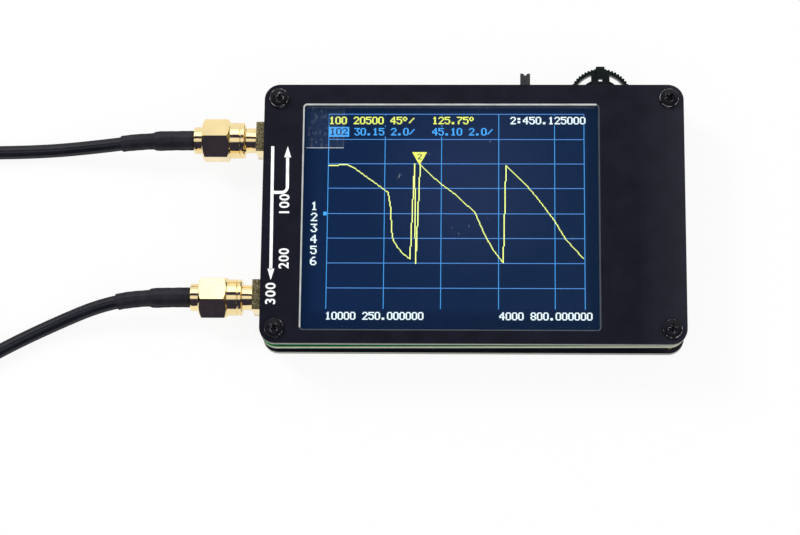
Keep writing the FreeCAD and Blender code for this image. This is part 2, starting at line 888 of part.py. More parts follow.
def plug(prefix, spot):
    """SMA plug; its own origin is the mating plane, and its X axis runs to the cable."""
    shoulder_end = "(plug_sleeve_length + plug_shoulder_length)"
    shell = put(body(prefix + "_plug"), *spot)
    pad(shell, circle(sketch(shell, "YZ_Plane"), "plug_sleeve_diameter"), "plug_sleeve_length")
    bottom = "plug_sleeve_length"
    barrel = circle(sketch(shell, "YZ_Plane", height=bottom), "plug_body_diameter")
    pad(shell, barrel, "plug_length - plug_sleeve_length")
    shoulder = sketch(shell, "YZ_Plane", height=bottom)
    pad(shell, flats(shoulder, "plug_shoulder_diameter", hidden_sides), "plug_shoulder_length")
    node(shell, prefix + "_plug")

    pin = put(body(prefix + "_plug_pin"), *spot)
    pad(pin, flats(sketch(pin, "YZ_Plane"), "pin_diameter", hidden_sides), "pin_reach", reverse=True)
    node(pin, prefix + "_plug_pin")

    nut = put(body(prefix + "_nut"), *spot)
    nose_end = "(nut_nose_length - nut_reach)"
    tip = "(-nut_reach)"
    hexagon = flats(sketch(nut, "YZ_Plane", height=nose_end), "nut_hex_width", turned=tightened[prefix])
    pad(nut, hexagon, "nut_hex_length")
    nose = circle(sketch(nut, "YZ_Plane", height=tip), "nut_nose_diameter")
    pad(nut, nose, "nut_nose_length")
    thread = flats(sketch(nut, "YZ_Plane", height=tip), "nut_bore", hidden_sides)
    cut(nut, thread, f"{shoulder_end} + nut_lip_gap - {tip}", reverse=True)
    neck = "plug_body_diameter + 2 * nut_fit"
    cut(nut, flats(sketch(nut, "YZ_Plane"), neck, hidden_sides))
    node(nut, prefix + "_nut")


def rounded_path(name, points):
    """Straight runs joined by tangent arcs, each as large as its two runs allow."""
    edges = []
    radii = []
    start = points[0]
    for before, corner, after in zip(points, points[1:], points[2:]):
        arriving = (corner - before).normalize()
        leaving = (after - corner).normalize()
        reach = bend_share * min((corner - before).Length, (after - corner).Length)
        half = arriving.getAngle(leaving) / 2
        radius = reach / math.tan(half)
        first = corner - arriving * reach
        last = corner + leaving * reach
        inward = (first + last) / 2 - corner
        middle = corner + inward.normalize() * (radius / math.cos(half) - radius)
        edges.append(Part.LineSegment(start, first).toShape())
        edges.append(Part.Arc(first, middle, last).toShape())
        radii.append(round(radius, 1))
        start = last
    edges.append(Part.LineSegment(start, points[-1]).toShape())
    print(name, "bend radii:", radii)
    return edges


def regular_polygon(reach, sides):
    """A closed wire round the origin, with corners at a radius."""
    step = 2 * math.pi / sides
    turns = [step * (k + 0.5) for k in range(sides)]
    corners = [Vector(reach * math.cos(turn), reach * math.sin(turn), 0) for turn in turns]
    return Part.makePolygon(corners + corners[:1])


def first_part(edges, length):
    """The start of a path, up to a length along it."""
    kept = []
    for edge in edges:
        if edge.Length >= length:
            last = edge.getParameterByLength(length)
            kept.append(edge.Curve.toShape(edge.FirstParameter, last))
            break
        kept.append(edge)
        length -= edge.Length
    return kept


def tube(edges, diameter):
    """A tube along a path; its section has a few sides, with the area of the round one."""
    sides = round(value("cable_sides"))
    start = edges[0].valueAt(edges[0].FirstParameter)
    heading = edges[0].tangentAt(edges[0].FirstParameter)
    circle_area = math.pi * diameter**2 / 4
    reach = math.sqrt(2 * circle_area / sides / math.sin(2 * math.pi / sides))
    section = regular_polygon(reach, sides)
    level = heading.cross(up)
    section.Placement = Placement(start, Rotation(level, Vector(), heading, "ZXY"))
    made = Part.Wire(edges).makePipeShell([section], True, False)
    expected = circle_area * sum(edge.Length for edge in edges)
    if abs(made.Volume - expected) > expected / 1000:
        raise RuntimeError("a tube has not the volume of its section times its length")
    return made


def straight_tube(start, reach):
    line = Part.LineSegment(start, start + reach).toShape()
    return tube([line], value("cable_diameter"))


def shape_node(name, shape, base=Vector(), turn=Rotation()):
    made = doc.addObject("Part::Feature", name)
    made.Shape = shape
    made.Placement = Placement(base, turn)
    return node(made, name)


def battery_tabs():
    """Two metal strips from the end of the cell to the main board."""
    strips = []
    for side in (-1, 1):
        made = body("battery_tab")
        y = f"battery_y + {side} * tab_strip_spacing / 2"
        put(made, "battery_x + battery_length / 2", y, "board_bottom - battery_thickness / 2")
        rise = "(battery_thickness / 2)"
        inner = "(tab_strip_reach - tab_strip_thickness)"
        outline = [
            ("0", "0"),
            ("tab_strip_reach", "0"),
            ("tab_strip_reach", f"{rise} - tab_strip_thickness"),
            ("tab_strip_foot", f"{rise} - tab_strip_thickness"),
            ("tab_strip_foot", rise),
            (inner, rise),
            (inner, "tab_strip_thickness"),
            ("0", "tab_strip_thickness"),
        ]
        pad(made, polygon(sketch(made, "XZ_Plane"), outline), "tab_strip_width", both=True)
        strips.append(made)
    group("battery_tabs", strips)


def sleeve(edges):
    """Heat-shrink sleeve over the cable, in a thick and a thin step."""
    whole = first_part(edges, value("sleeve_length"))
    short = first_part(edges, value("sleeve_thick_length"))
    outside = tube(whole, value("sleeve_thin_diameter"))
    outside = outside.fuse(tube(short, value("sleeve_thick_diameter")))
    return outside.cut(tube(whole, value("cable_diameter") + 2 * value("sleeve_fit")))


def tail_reach():
    return value("coil_tail") + value("sleeve_length")


def coil(entry_end, heading):
    """Closed outer shape of the coiled lead, round the middle of its turns."""
    half = value("cable_diameter") / 2
    sides = round(value("coil_sides"))
    wide = value("coil_radius") + value("coil_spread") + half
    narrow = value("coil_radius") - value("coil_spread") - half
    outline = Part.Face(regular_polygon(wide / math.cos(math.pi / sides), sides))
    face = outline.cut(Part.Face(regular_polygon(narrow, sides)))
    ring = face.Faces[0].extrude(Vector(0, 0, value("coil_climb") + value("cable_diameter")))
    ring.translate(Vector(0, 0, value("cable_height") - half))
    entry = straight_tube(entry_end, heading * value("coil_entry"))
    last_turn = value("coil_spread") - value("coil_radius")
    tail_start = Vector(0, last_turn, value("coil_exit_height"))
    return ring.fuse([entry, straight_tube(tail_start, -along_x * tail_reach())])


def lead(side, route):
    """The free lead of one plug: sleeve, cable, coil, far sleeve and far plug."""
    start = Vector(-value("collar_end"), value(f"{side}_socket_y"), value("socket_axis"))
    points = [start, start - Vector(straight_start, 0, 0)]
    points += [Vector(x, y, value("cable_height") + rise) for x, y, rise in route]
    edges = rounded_path(side + " lead", points)
    shape_node(side + "_sleeve", sleeve(edges))
    shape_node(side + "_cable", tube(edges, value("cable_diameter")))

    # The turns go clockwise, so their middle is to the right of the entering cable.
    heading = (points[-1] - points[-2]).normalize()
    right = Vector(heading.y, -heading.x, 0)
    wound = value("coil_radius") + value("coil_spread")
    center = points[-1] + heading * value("coil_entry") + right * wound
    center.z = 0
    shape_node(side + "_coil", coil(points[-1] - center, heading), center)

    last_turn = center.y - value("coil_radius") + value("coil_spread")
    collar = center.x - tail_reach()
    height = value("coil_exit_height")
    straight = [Part.LineSegment(Vector(), Vector(value("sleeve_length"), 0, 0)).toShape()]
    spot = Vector(collar, last_turn, height)
    shape_node(f"{side}_far_sleeve", sleeve(straight), spot)
    plane = f"{collar} - plug_length"
    plug(f"{side}_far", (plane, f"{last_turn}", "coil_exit_height"))
    turns = 2 * math.pi + heading.getAngle(-along_x)
    length = sum(edge.Length for edge in edges) + value("coil_entry")
    length += turns * value("coil_radius") + tail_reach()
    print(side, "lead length:", round(length, 1), "coil middle:", center)


def main():
    fill_sheet()
    board("back_panel", "screw_head_height", "panel_width", "panel_thickness")
    board("main_board", "board_bottom", "main_board_width", "main_board_thickness")
    front_panel()
    front_screws()
    back_screws()
    standoffs("front_standoffs", "board_top", "front_gap", "thread_clearance")
    standoffs("back_standoffs", "back_panel_top", "back_gap", "screw_hole_clearance")
    screen()
    screen_film()
    screen_flex()
    battery()
    battery_tabs()
    shields()
    chips()
    repeated("power_chips", "power_chip", 2)
    repeated("status_lights", "light", 2)
    repeated("passives", "passive", 4, rows=3)
    usb_socket()
    slide_switch()
    thumbwheel_housing()
    thumbwheel_carriage()
    thumbwheel()
    for side, route in (("upper", upper_route), ("lower", lower_route)):
        socket(side)
        plug(side, ("-mating_plane", f"{side}_socket_y", "socket_axis", half_turn))
        lead(side, route)
    doc.recompute()
    check()
    write()


def check():
    for thing in doc.Objects:
        if "Invalid" in thing.State or "Error" in thing.State:
            raise RuntimeError(f"{thing.Label} failed: {thing.State}")
    for thing in nodes:
        if thing.Shape.isNull() or not thing.Shape.isValid() or not thing.Shape.Solids:
            raise RuntimeError(f"{thing.Label} is not a valid solid")


def write():
    os.makedirs("parts", exist_ok=True)
    for thing in nodes:
        thing.Shape.exportStep(f"parts/{thing.Label}.step")
    print(len(nodes), "sub-parts written")


main()
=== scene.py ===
import json
import math
import bmesh
import bpy
from mathutils import Matrix, Quaternion, Vector

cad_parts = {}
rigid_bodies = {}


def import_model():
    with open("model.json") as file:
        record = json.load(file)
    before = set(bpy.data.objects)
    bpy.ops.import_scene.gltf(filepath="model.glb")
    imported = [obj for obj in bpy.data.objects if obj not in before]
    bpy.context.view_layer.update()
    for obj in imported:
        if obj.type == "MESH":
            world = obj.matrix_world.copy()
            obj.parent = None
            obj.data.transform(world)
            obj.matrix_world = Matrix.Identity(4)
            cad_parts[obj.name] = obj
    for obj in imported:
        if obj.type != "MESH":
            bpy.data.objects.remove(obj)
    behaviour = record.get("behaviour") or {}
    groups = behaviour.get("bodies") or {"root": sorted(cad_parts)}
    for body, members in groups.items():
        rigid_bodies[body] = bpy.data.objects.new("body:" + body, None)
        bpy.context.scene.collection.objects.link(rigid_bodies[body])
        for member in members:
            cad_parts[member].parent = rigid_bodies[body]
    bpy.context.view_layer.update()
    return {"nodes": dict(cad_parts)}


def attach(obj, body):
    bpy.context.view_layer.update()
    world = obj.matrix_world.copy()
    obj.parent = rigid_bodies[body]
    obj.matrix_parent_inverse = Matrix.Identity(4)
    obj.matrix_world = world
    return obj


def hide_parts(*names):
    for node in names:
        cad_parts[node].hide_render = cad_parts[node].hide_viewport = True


# Pocket antenna analyzer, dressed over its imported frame.
# Pieces are modelled in millimetres and put into metres as they are finished.
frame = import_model()
mm = 0.001
tableBody = "instrument"
print("frame loaded:", len(frame["nodes"]), "nodes")


def newObject(name, data):
    made = bpy.data.objects.new(name, data)
    bpy.context.scene.collection.objects.link(made)
    return made


# Camera, looking down on the instrument where it lies on a white table.
view = {
    "place": (1.9, -122.9, 476.5),
    "turn": (0.23557695, 0.03414780, 0.00694949),  # axis times angle, in radians
    "lens": 106.99, "sensor": 36.0, "clip": (0.01, 20.0),
}
turn = Vector(view["turn"])
lens = bpy.data.cameras.new("viewCamera")
lens.lens = view["lens"]
lens.sensor_width = view["sensor"]
lens.clip_start, lens.clip_end = view["clip"]
camera = newObject("viewCamera", lens)
facing = Quaternion(turn.normalized(), turn.length).to_matrix().to_4x4()
camera.matrix_world = Matrix.Translation(Vector(view["place"]) * mm) @ facing
bpy.context.scene.camera = camera
bpy.context.scene.view_settings.view_transform = "Standard"
print("camera placed")


# Materials: the first functions start one and add nodes, the next ones add what several share.
def newMaterial(name, **values):
    material = bpy.data.materials.new(name)
    material.use_nodes = True
    shader = material.node_tree.nodes["Principled BSDF"]
    for socket, value in values.items():
        shader.inputs[socket.replace("_", " ")].default_value = value
    return material


def addNode(owner, kind, inputs=None, **settings):
    # owner is a material or a world
    made = owner.node_tree.nodes.new("ShaderNode" + kind)
    for name, value in settings.items():
        setattr(made, name, value)
    for name, value in (inputs or {}).items():
        if isinstance(value, bpy.types.NodeSocket):
            owner.node_tree.links.new(value, made.inputs[name])
        else:
            made.inputs[name].default_value = value
    return made


def sums(owner, operation, first, second=0.0):
    return addNode(owner, "Math", {0: first, 1: second}, operation=operation).outputs[0]


def link(material, output, socket):
    shader = material.node_tree.nodes["Principled BSDF"]
    material.node_tree.links.new(output, shader.inputs[socket])


def place(material):
    # object coordinates, in metres
    return addNode(material, "TexCoord").outputs["Object"]


def placeAxes(material):
    return addNode(material, "SeparateXYZ", {"Vector": place(material)}).outputs


def noise(material, scale, detail, stretch=None):
    spot = place(material)
    if stretch:
        spot = addNode(material, "Mapping", {"Vector": spot, "Scale": stretch}).outputs[0]
    values = {"Vector": spot, "Scale": scale, "Detail": detail}
    return addNode(material, "TexNoise", values).outputs["Fac"]


def ramp(owner, factor, *stops):
    made = addNode(owner, "ValToRGB", {"Fac": factor})
    while len(made.color_ramp.elements) < len(stops):
        made.color_ramp.elements.new(0.5)
    for element, (position, color) in zip(made.color_ramp.elements, stops):
        element.position = position
        element.color = (*color, 1.0)
    return made.outputs["Color"]


def spread(owner, factor, low, high, lowest=0.3, highest=0.7):
    values = {"Value": factor, "From Min": lowest, "From Max": highest, "To Min": low, "To Max": high}
    return addNode(owner, "MapRange", values).outputs["Result"]


def blend(material, factor, first, second, how="MIX"):
    values = {0: factor}
    for index, color in ((6, first), (7, second)):  # A and B of a colour mix
        values[index] = color if isinstance(color, bpy.types.NodeSocket) else (*color, 1.0)
    return addNode(material, "Mix", values, data_type="RGBA", blend_type=how).outputs[2]


def shaded(color, share):
    return [c * share for c in color]


def lighter(color, share):
    return [c * share + 0.001 for c in color]


def cloudy(material, scale, detail, first, second, stretch=None):
    # two colours that drift into each other
    return blend(material, spread(material, noise(material, scale, detail, stretch), 0, 1), first, second)


def bump(material, height, distance, strength):
    values = {"Height": height, "Distance": distance * mm, "Strength": strength}
    link(material, addNode(material, "Bump", values).outputs["Normal"], "Normal")


def facingUp(material):
    # 1 on faces that look up or down, 0 on the edges of a board
    normal = addNode(material, "TexCoord").outputs["Normal"]
    across = addNode(material, "SeparateXYZ", {"Vector": normal}).outputs["Z"]
    return sums(material, "GREATER_THAN", sums(material, "ABSOLUTE", across), 0.9)


board = {
    # painted light: the black mask turns paler towards the right end of the panels
    "rightPaintedLight": (0.10, 0.10, 0.12), "rightPaintedLightFrom": (0.033, 0.043),  # metres along X
    "topEdgeDark": 0.10, "topEdgeDarkFrom": (0.0115, 0.0118),  # metres up, on the front panel's edge
    "edgeRoughness": 0.62,
}


def boardMaterial(name, mask, core, roughness, paintedLightShare=0.0):
    # solder mask over both faces, raw glass-epoxy core on the cut edges
    material = newMaterial(name, Specular_IOR_Level=0.2)
    axes = placeAxes(material)
    shade = cloudy(material, 260, 4, mask, lighter(mask, 1.5))
    # painted light: the mask is blended towards a paler grey near the right end
    shade = blend(material, spread(material, axes["X"], 0, paintedLightShare, *board["rightPaintedLightFrom"]), shade, board["rightPaintedLight"])
    raw = cloudy(material, 900, 2, core, shaded(core, 0.72), (1, 1, 5))
    # the raw edge turns darker towards its top, above the given heights
    nearTop = spread(material, axes["Z"], 0, 1, *board["topEdgeDarkFrom"])
    raw = blend(material, nearTop, raw, shaded(core, board["topEdgeDark"]))
    flat = facingUp(material)
    link(material, blend(material, flat, raw, shade), "Base Color")
    link(material, spread(material, flat, board["edgeRoughness"], roughness, 0, 1), "Roughness")
    bump(material, noise(material, 1400, 2), 0.003, 0.3)
    return material


def turnedAway(material):
    return addNode(material, "LayerWeight", {"Blend": 0.5}).outputs["Facing"]


def emptied(owner):
    # a new material or world without its first nodes
    owner.use_nodes = True
    owner.node_tree.nodes.clear()
    return owner


def mixed(owner, factor, first, second):
    return addNode(owner, "MixShader", {0: factor, 1: first, 2: second}).outputs[0]


def skinned(material, color, rough, ends, grain, depth, strength):
    # colour, roughness that drifts between two ends, and a grain of small bumps
    link(material, color, "Base Color")
    link(material, spread(material, noise(material, *rough), *ends), "Roughness")
    bump(material, noise(material, *grain), depth, strength)
    return material


def goldMaterial(name, color, low, high, grain):
    material = newMaterial(name, Metallic=1.0)
    tones = cloudy(material, 220, 3, color, shaded(color, 0.86))
    return skinned(material, tones, (900, 4), (low, high), (grain, 3), 0.003, 0.25)


casting = {
    # dark browns: partly painted shade, partly the rough casting's own mottling
    "spots": [(0.40, (0.055, 0.045, 0.020)), (0.52, (0.17, 0.14, 0.065)), (0.66, (0.33, 0.28, 0.16))],
    "polished": (1.0, 0.82, 0.48), "metallic": (1.0, 0.35), "roughness": (0.2, 0.55),
}


def castMaterial():
    # rough gilt casting, mottled like sand on the faces that look up or down; the dark browns of that
    # mottling are partly painted shade
    material = newMaterial("castGold")
    flat = facingUp(material)
    spots = ramp(material, noise(material, 2600, 4), *casting["spots"])
    link(material, blend(material, flat, casting["polished"], spots), "Base Color")
    link(material, spread(material, flat, *casting["metallic"], 0, 1), "Metallic")
    link(material, spread(material, flat, *casting["roughness"], 0, 1), "Roughness")
    bump(material, noise(material, 3000, 3), 0.02, 0.5)
    return material


def plasticMaterial(name, color, roughness, grain=2500, depth=0.006, shine=0.5):
    material = newMaterial(name, Specular_IOR_Level=shine)
    tones = cloudy(material, 400, 3, color, lighter(color, 1.35))
    ends = (roughness - 0.06, roughness + 0.08)
    return skinned(material, tones, (700, 3), ends, (grain, 2), depth, 0.4)


def glintMaterial():
    # painted glints: bright metal patches, broken by noise, stand for highlights on a screw's edges
    material = newMaterial("screwEdgeGlints", Metallic=0.5, Roughness=0.3)
    glintPatches = [(0.49, (0.014, 0.012, 0.018)), (0.62, (0.80, 0.80, 0.86))]
    link(material, ramp(material, noise(material, 1100, 2), *glintPatches), "Base Color")
    return material


blackBoard = boardMaterial("blackBoard", (0.0048, 0.0050, 0.0104), (0.42, 0.43, 0.38), 0.28, 0.11)
# painted light and shade: a pale lit copy and a dark shaded copy of the raw core, for the window's rim
litWindowChamfer = plasticMaterial("litWindowChamfer", (0.58, 0.61, 0.59), 0.5)
shadedWindowWall = plasticMaterial("shadedWindowWall", (0.045, 0.055, 0.066), 0.5)
greenBoard = boardMaterial("greenBoard", (0.006, 0.115, 0.032), (0.54, 0.59, 0.44), 0.34)
gold = goldMaterial("polishedGold", (1.0, 0.80, 0.42), 0.07, 0.15, 5000)
brass = goldMaterial("turnedBrass", (0.75, 0.58, 0.30), 0.22, 0.38, 4000)
mottledGoldAndShade = castMaterial()
tin = goldMaterial("tinPlate", (0.72, 0.72, 0.73), 0.22, 0.40, 3000)
screwBlack = plasticMaterial("blackScrew", (0.0050, 0.0044, 0.0068), 0.3, 3000, 0.002, 0.12)
screwGlints = glintMaterial()
wheelPlastic = plasticMaterial("wheelPlastic", (0.0065, 0.0098, 0.0096), 0.2, 2500, 0.003, 0.15)
switchPlastic = plasticMaterial("switchPlastic", (0.033, 0.034, 0.037), 0.3, 2500, 0.003, 0.3)
chipPlastic = plasticMaterial("chipPlastic", (0.022, 0.022, 0.024), 0.55, 4500, 0.01)
whiteInsulator = plasticMaterial("whiteInsulator", (0.80, 0.79, 0.76), 0.45)
trayPlastic = plasticMaterial("trayPlastic", (0.74, 0.74, 0.72), 0.5)
ceramic = plasticMaterial("ceramic", (0.30, 0.21, 0.12), 0.42)
clearLight = plasticMaterial("clearLight", (0.70, 0.74, 0.62), 0.25)


# Jackets of the leads: satin shrunk sleeve with fine lengthwise drawing marks, and smoother cable.
jacket = {
    "shrinkSleeve": {
        "coat": 0.42, "coatRoughness": 0.4, "drift": (500, 4), "rough": (900, 3), "ends": (0.42, 0.6),
        "tones": [(0.35, (0.010, 0.0098, 0.014)), (0.7, (0.019, 0.0185, 0.026))],
        "grain": ((600, 3, (0.25, 1, 1)), 0.05, 0.5),
    },
    "cableJacket": {
        "coat": 0.6, "coatRoughness": 0.25, "drift": (300, 3), "rough": (500, 4), "ends": (0.26, 0.40),
        "tones": [(0.3, (0.0052, 0.0056, 0.0092)), (0.75, (0.0102, 0.0110, 0.0170))],
        "grain": ((1500, 2), 0.01, 0.3),
    },
}


def jacketMaterial(name):
    # its gloss fades where the surface turns away
    values = jacket[name]
    material = newMaterial(name, Coat_Roughness=values["coatRoughness"], Specular_IOR_Level=0.0)
    link(material, spread(material, turnedAway(material), values["coat"], 0, 0.35, 0.85), "Coat Weight")
    tones = ramp(material, noise(material, *values["drift"]), *values["tones"])
    return skinned(material, tones, values["rough"], values["ends"], *values["grain"])


sleeveBlack = jacketMaterial("shrinkSleeve")
cableBlack = jacketMaterial("cableJacket")
print("materials made")


def meshOf(bm, name="part"):
    mesh = bpy.data.meshes.new(name)
    bm.to_mesh(mesh)
    bm.free()
    return mesh


def shapeOf(item, *spare):
    # the object's final shape; it and the spare ones are removed
    mesh = bpy.data.meshes.new_from_object(item.evaluated_get(bpy.context.evaluated_depsgraph_get()))
    bm = bmesh.new()
    bm.from_mesh(mesh)
    bpy.data.batch_remove([mesh] + [part for old in (item, *spare) for part in (old, old.data)])
    return bm


def piece(name, bm, material, body=tableBody, stands=(), sharp=32):
    # writes the millimetre mesh as a finished piece and hides the nodes it stands for
    bmesh.ops.scale(bm, vec=(mm, mm, mm), verts=bm.verts)
    mesh = meshOf(bm, name)
    mesh.shade_smooth()
    mesh.set_sharp_from_angle(angle=math.radians(sharp))
    for face in mesh.polygons:
        # cut outlines are flat, whatever meets them
        face.use_smooth = len(face.vertices) < 5
    for item in material if isinstance(material, tuple) else [material]:
        mesh.materials.append(item)
    made = newObject(name, mesh)
    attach(made, body)
    if stands:
        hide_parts(*stands)
    return made


def copyOf(node):
    # the node's own shape in millimetres, as clean faces
    bm = bmesh.new()
    bm.from_mesh(frame["nodes"][node].data)
    bmesh.ops.scale(bm, vec=(1 / mm,) * 3, verts=bm.verts)
    bmesh.ops.remove_doubles(bm, verts=bm.verts, dist=0.002)
    bmesh.ops.dissolve_limit(bm, angle_limit=math.radians(1), verts=bm.verts, edges=bm.edges)
    return bm


def bevelled(bm, edges, width, segments, clamp=False):
    bmesh.ops.bevel(bm, geom=edges, offset=width, offset_type="OFFSET", affect="EDGES", segments=segments,
                    profile=0.5, material=-1, clamp_overlap=clamp)


def bevelSharp(bm, width, segments=2, limit=40):
    steep = math.radians(limit)
    edges = [e for e in bm.edges if e.is_manifold and e.calc_face_angle(0) > steep]
    bevelled(bm, edges, width, segments, clamp=True)


def dressed(node, material, width, segments=2, body=tableBody):
    # a node's own shape with its edges broken
    bm = copyOf(node)
    bevelSharp(bm, width, segments)
    piece(node + "Shell", bm, material, body, (node,))


def moved(bm, vec):
    bmesh.ops.translate(bm, vec=vec, verts=bm.verts)
    return bm


def rotated(bm, angle, axis):
    bmesh.ops.rotate(bm, cent=(0, 0, 0), matrix=Matrix.Rotation(angle, 3, axis), verts=bm.verts)
    return bm


def block(size, center, width=0.0, segments=2):
    bm = bmesh.new()
    bmesh.ops.create_cube(bm, size=1)
    bmesh.ops.scale(bm, vec=size, verts=bm.verts)
    moved(bm, center)
    if width:
        bevelSharp(bm, width, segments)
    return bm


def prism(sides, radius, depth, matrix=Matrix()):
    bm = bmesh.new()
    bmesh.ops.create_cone(bm, cap_ends=True, segments=sides, radius1=radius, radius2=radius, depth=depth,
                          matrix=matrix)
    return bm


def spun(outline, steps, closed=True):
    # (along, radius) corners turned round the X axis
    bm = bmesh.new()
    corners = [bm.verts.new((x, 0, r)) for x, r in outline]
    pairs = list(zip(corners, corners[1:]))
    if closed:
        pairs.append((corners[-1], corners[0]))
    lines = [bm.edges.new(pair) for pair in pairs]
    bmesh.ops.spin(bm, geom=corners + lines, cent=(0, 0, 0), axis=(1, 0, 0), angle=2 * math.pi,
                   steps=steps, use_merge=True)
    bmesh.ops.remove_doubles(bm, verts=bm.verts, dist=0.0005)
    bmesh.ops.recalc_face_normals(bm, faces=bm.faces)
    return bm


def rod(start, end, radius, steps):
    return spun([(start, 0.0), (start, radius), (end, radius), (end, 0.0)], steps, closed=False)


def placed(bm, spot, flip):
    # flip points a shape that was made along +X towards -X
    return moved(rotated(bm, math.pi, "Z") if flip else bm, spot)


def joined(*parts):
    whole = bmesh.new()
    for part in parts:
        mesh = meshOf(part)
        whole.from_mesh(mesh)
        bpy.data.meshes.remove(mesh)
    return whole


def crossed(bm, tool, operation="DIFFERENCE"):
    # one solid cut with another
    solid, cutter = [newObject("part", meshOf(part)) for part in (bm, tool)]
    cut = solid.modifiers.new("cut", "BOOLEAN")
    cut.object = cutter
    cut.operation = operation
    cut.solver = "EXACT"
    return shapeOf(solid, cutter)


def threadLine(start, end, pitch, corners):
    # corners of one ridge as (along, radius), repeated from start to end
    line = []
    way = 1 if end > start else -1
    while (end - start) * way > 0:
        line += [(start + way * along, radius) for along, radius in corners]
        start += way * pitch
    return line


# The two leads: route points as in the source of the frame, then the turns of the coil.
lead = {
    "diameter": 2.8, "collar": -58.1, "straight": 9.3, "axis": 5.7, "lay": 1.45,
    "length": {"upper": 0.177, "lower": 0.1775},
    "start": {"upper": 16.97, "lower": -16.3},
    "route": {
        "upper": [(-77.0, 16.25, 3.9), (-88.0, 15.85, 1.5), (-99.5, 15.5, 1.45), (-110.5, 15.5, 1.45)],
        "lower": [(-76.2, -17.6, 4.0), (-85.5, -21.0, 1.7), (-94.8, -25.5, 1.45), (-101.0, -29.1, 1.45)],
    },
    "entry": 9.5, "coilRadius": 14.0, "coilSpread": 0.7, "coilClimb": 3.3, "perTurn": 18, "swellShare": 0.9,
    "tail": (5.5, 16, 26.8),
}


def leadPoints(side):
    points = [Vector((lead["collar"], lead["start"][side], lead["axis"]))]
    points.append(points[0] - Vector((lead["straight"], 0, 0)))
    points += [Vector(p) for p in lead["route"][side]]
    heading = (points[-1] - points[-2]).normalized()
    right = Vector((heading.y, -heading.x, 0))
    wide = lead["coilRadius"] + lead["coilSpread"]
    middle = points[-1] + heading * lead["entry"] + right * wide
    whole = 2 * math.pi + heading.angle(Vector((-1, 0, 0)))
    first = math.atan2(-right.y, -right.x)
    count = round(lead["perTurn"] * whole / (2 * math.pi))
    swell = 2 / (1 + math.cos(whole / count))
    for k in range(count):
        share = (k + 0.5) / count
        radius = (wide - 2 * lead["coilSpread"] * share) * (1 + (swell - 1) * lead["swellShare"])
        angle = first - whole * share
        height = lead["lay"] + lead["coilClimb"] * share
        x, y = middle.x + radius * math.cos(angle), middle.y + radius * math.sin(angle)
        points.append(Vector((x, y, height)))
    out = Vector((middle.x, middle.y - wide + 2 * lead["coilSpread"], lead["lay"] + lead["coilClimb"]))
    return points + [out - Vector((step, 0, 0)) for step in lead["tail"]]


def leadCurve(name, points, thickness):
    data = bpy.data.curves.new(name, "CURVE")
    data.dimensions = "3D"
    data.resolution_u = 16
    spline = data.splines.new("NURBS")
    spline.points.add(len(points) - 1)
    for point, spot in zip(spline.points, points):
        point.co = (*(spot * mm), 1)
    spline.order_u = 3
    spline.use_endpoint_u = True
    data.bevel_depth = thickness * mm / 2
    data.bevel_resolution = 7
    data.use_fill_caps = True
    return newObject(name, data)


def centreLine(points):
    # points along the lead, read from its own spline
    plain = leadCurve("plainLine", points, 0)
    mesh = bpy.data.meshes.new_from_object(plain)
    spots = [v.co / mm for v in mesh.vertices]
    bpy.data.batch_remove([plain, plain.data, mesh])
    return spots


def spotAt(spots, distance):
    # place and heading at a distance along the line
    for before, after in zip(spots, spots[1:]):
        step = (after - before).length
        if distance <= step:
            return before.lerp(after, distance / step), (after - before).normalized()
        distance -= step
    return spots[-1], (spots[-1] - spots[-2]).normalized()


sleeve = {
    "profile": [(0.0, 1.7), (0.0, 1.93), (0.12, 2.02), (7.2, 2.03), (8.0, 1.98), (8.35, 1.80), (8.6, 1.71),
                (11.0, 1.69), (15.0, 1.70), (15.2, 1.66), (15.25, 1.52), (15.25, 1.39)],
    "segments": 32, "step": 0.5, "sharp": 50,
    "wrinkle": 0.03, "wrinkleWaves": (2.1, 0.9), "wrinkled": (0.3, 15),
    "forward": {"upper": 0.4, "lower": 0.65, "far": 0.4},
}


def sleeveMesh(spots, forward):
    # rings carried along the lead, joined one to the next
    bm = bmesh.new()
    profile = sleeve["profile"]
    stations = []
    for (a, ra), (b, rb) in zip(profile, profile[1:]):
        count = max(1, round((b - a) / sleeve["step"]))
        stations += [(a + (b - a) * k / count, ra + (rb - ra) * k / count) for k in range(count)]
    stations.append(profile[-1])
    rings = []
    for along, radius in stations:
        spot, heading = spotAt(spots, along - forward)
        side = heading.cross(Vector((0, 0, 1))).normalized()
        basis = Matrix((side, heading.cross(side), heading)).transposed().to_4x4()
        if sleeve["wrinkled"][0] < along < sleeve["wrinkled"][1]:
            fast, slow = sleeve["wrinkleWaves"]
            radius += sleeve["wrinkle"] * math.sin(along * fast) * math.cos(along * slow)
        made = bmesh.ops.create_circle(bm, segments=sleeve["segments"], radius=radius,
                                       matrix=Matrix.Translation(spot) @ basis)
        rings.append(made["verts"])
    for before, after in zip(rings, rings[1:]):
        edges = {e for ring in (before, after) for v in ring for e in v.link_edges
                 if all(w in ring for w in e.verts)}
        bmesh.ops.bridge_loops(bm, edges=list(edges))
    bmesh.ops.recalc_face_normals(bm, faces=bm.faces)
    return bm


def makeLead(side):
    points = leadPoints(side)
    cable = leadCurve(side + "Cable", points, lead["diameter"])
    cable.data.materials.append(cableBlack)
    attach(cable, tableBody)
    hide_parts(side + "_cable", side + "_coil")
    spots = centreLine(points)
    near = piece(side + "Sleeve", sleeveMesh(spots, sleeve["forward"][side]), sleeveBlack,
                 stands=(side + "_sleeve",), sharp=sleeve["sharp"])
    far = piece(side + "FarSleeve", sleeveMesh(spots[::-1], sleeve["forward"]["far"]), sleeveBlack,
                stands=(side + "_far_sleeve",), sharp=sleeve["sharp"])
    return cable, near, far, points[-1]


leads = {side: makeLead(side) for side in ("upper", "lower")}
print("leads laid")

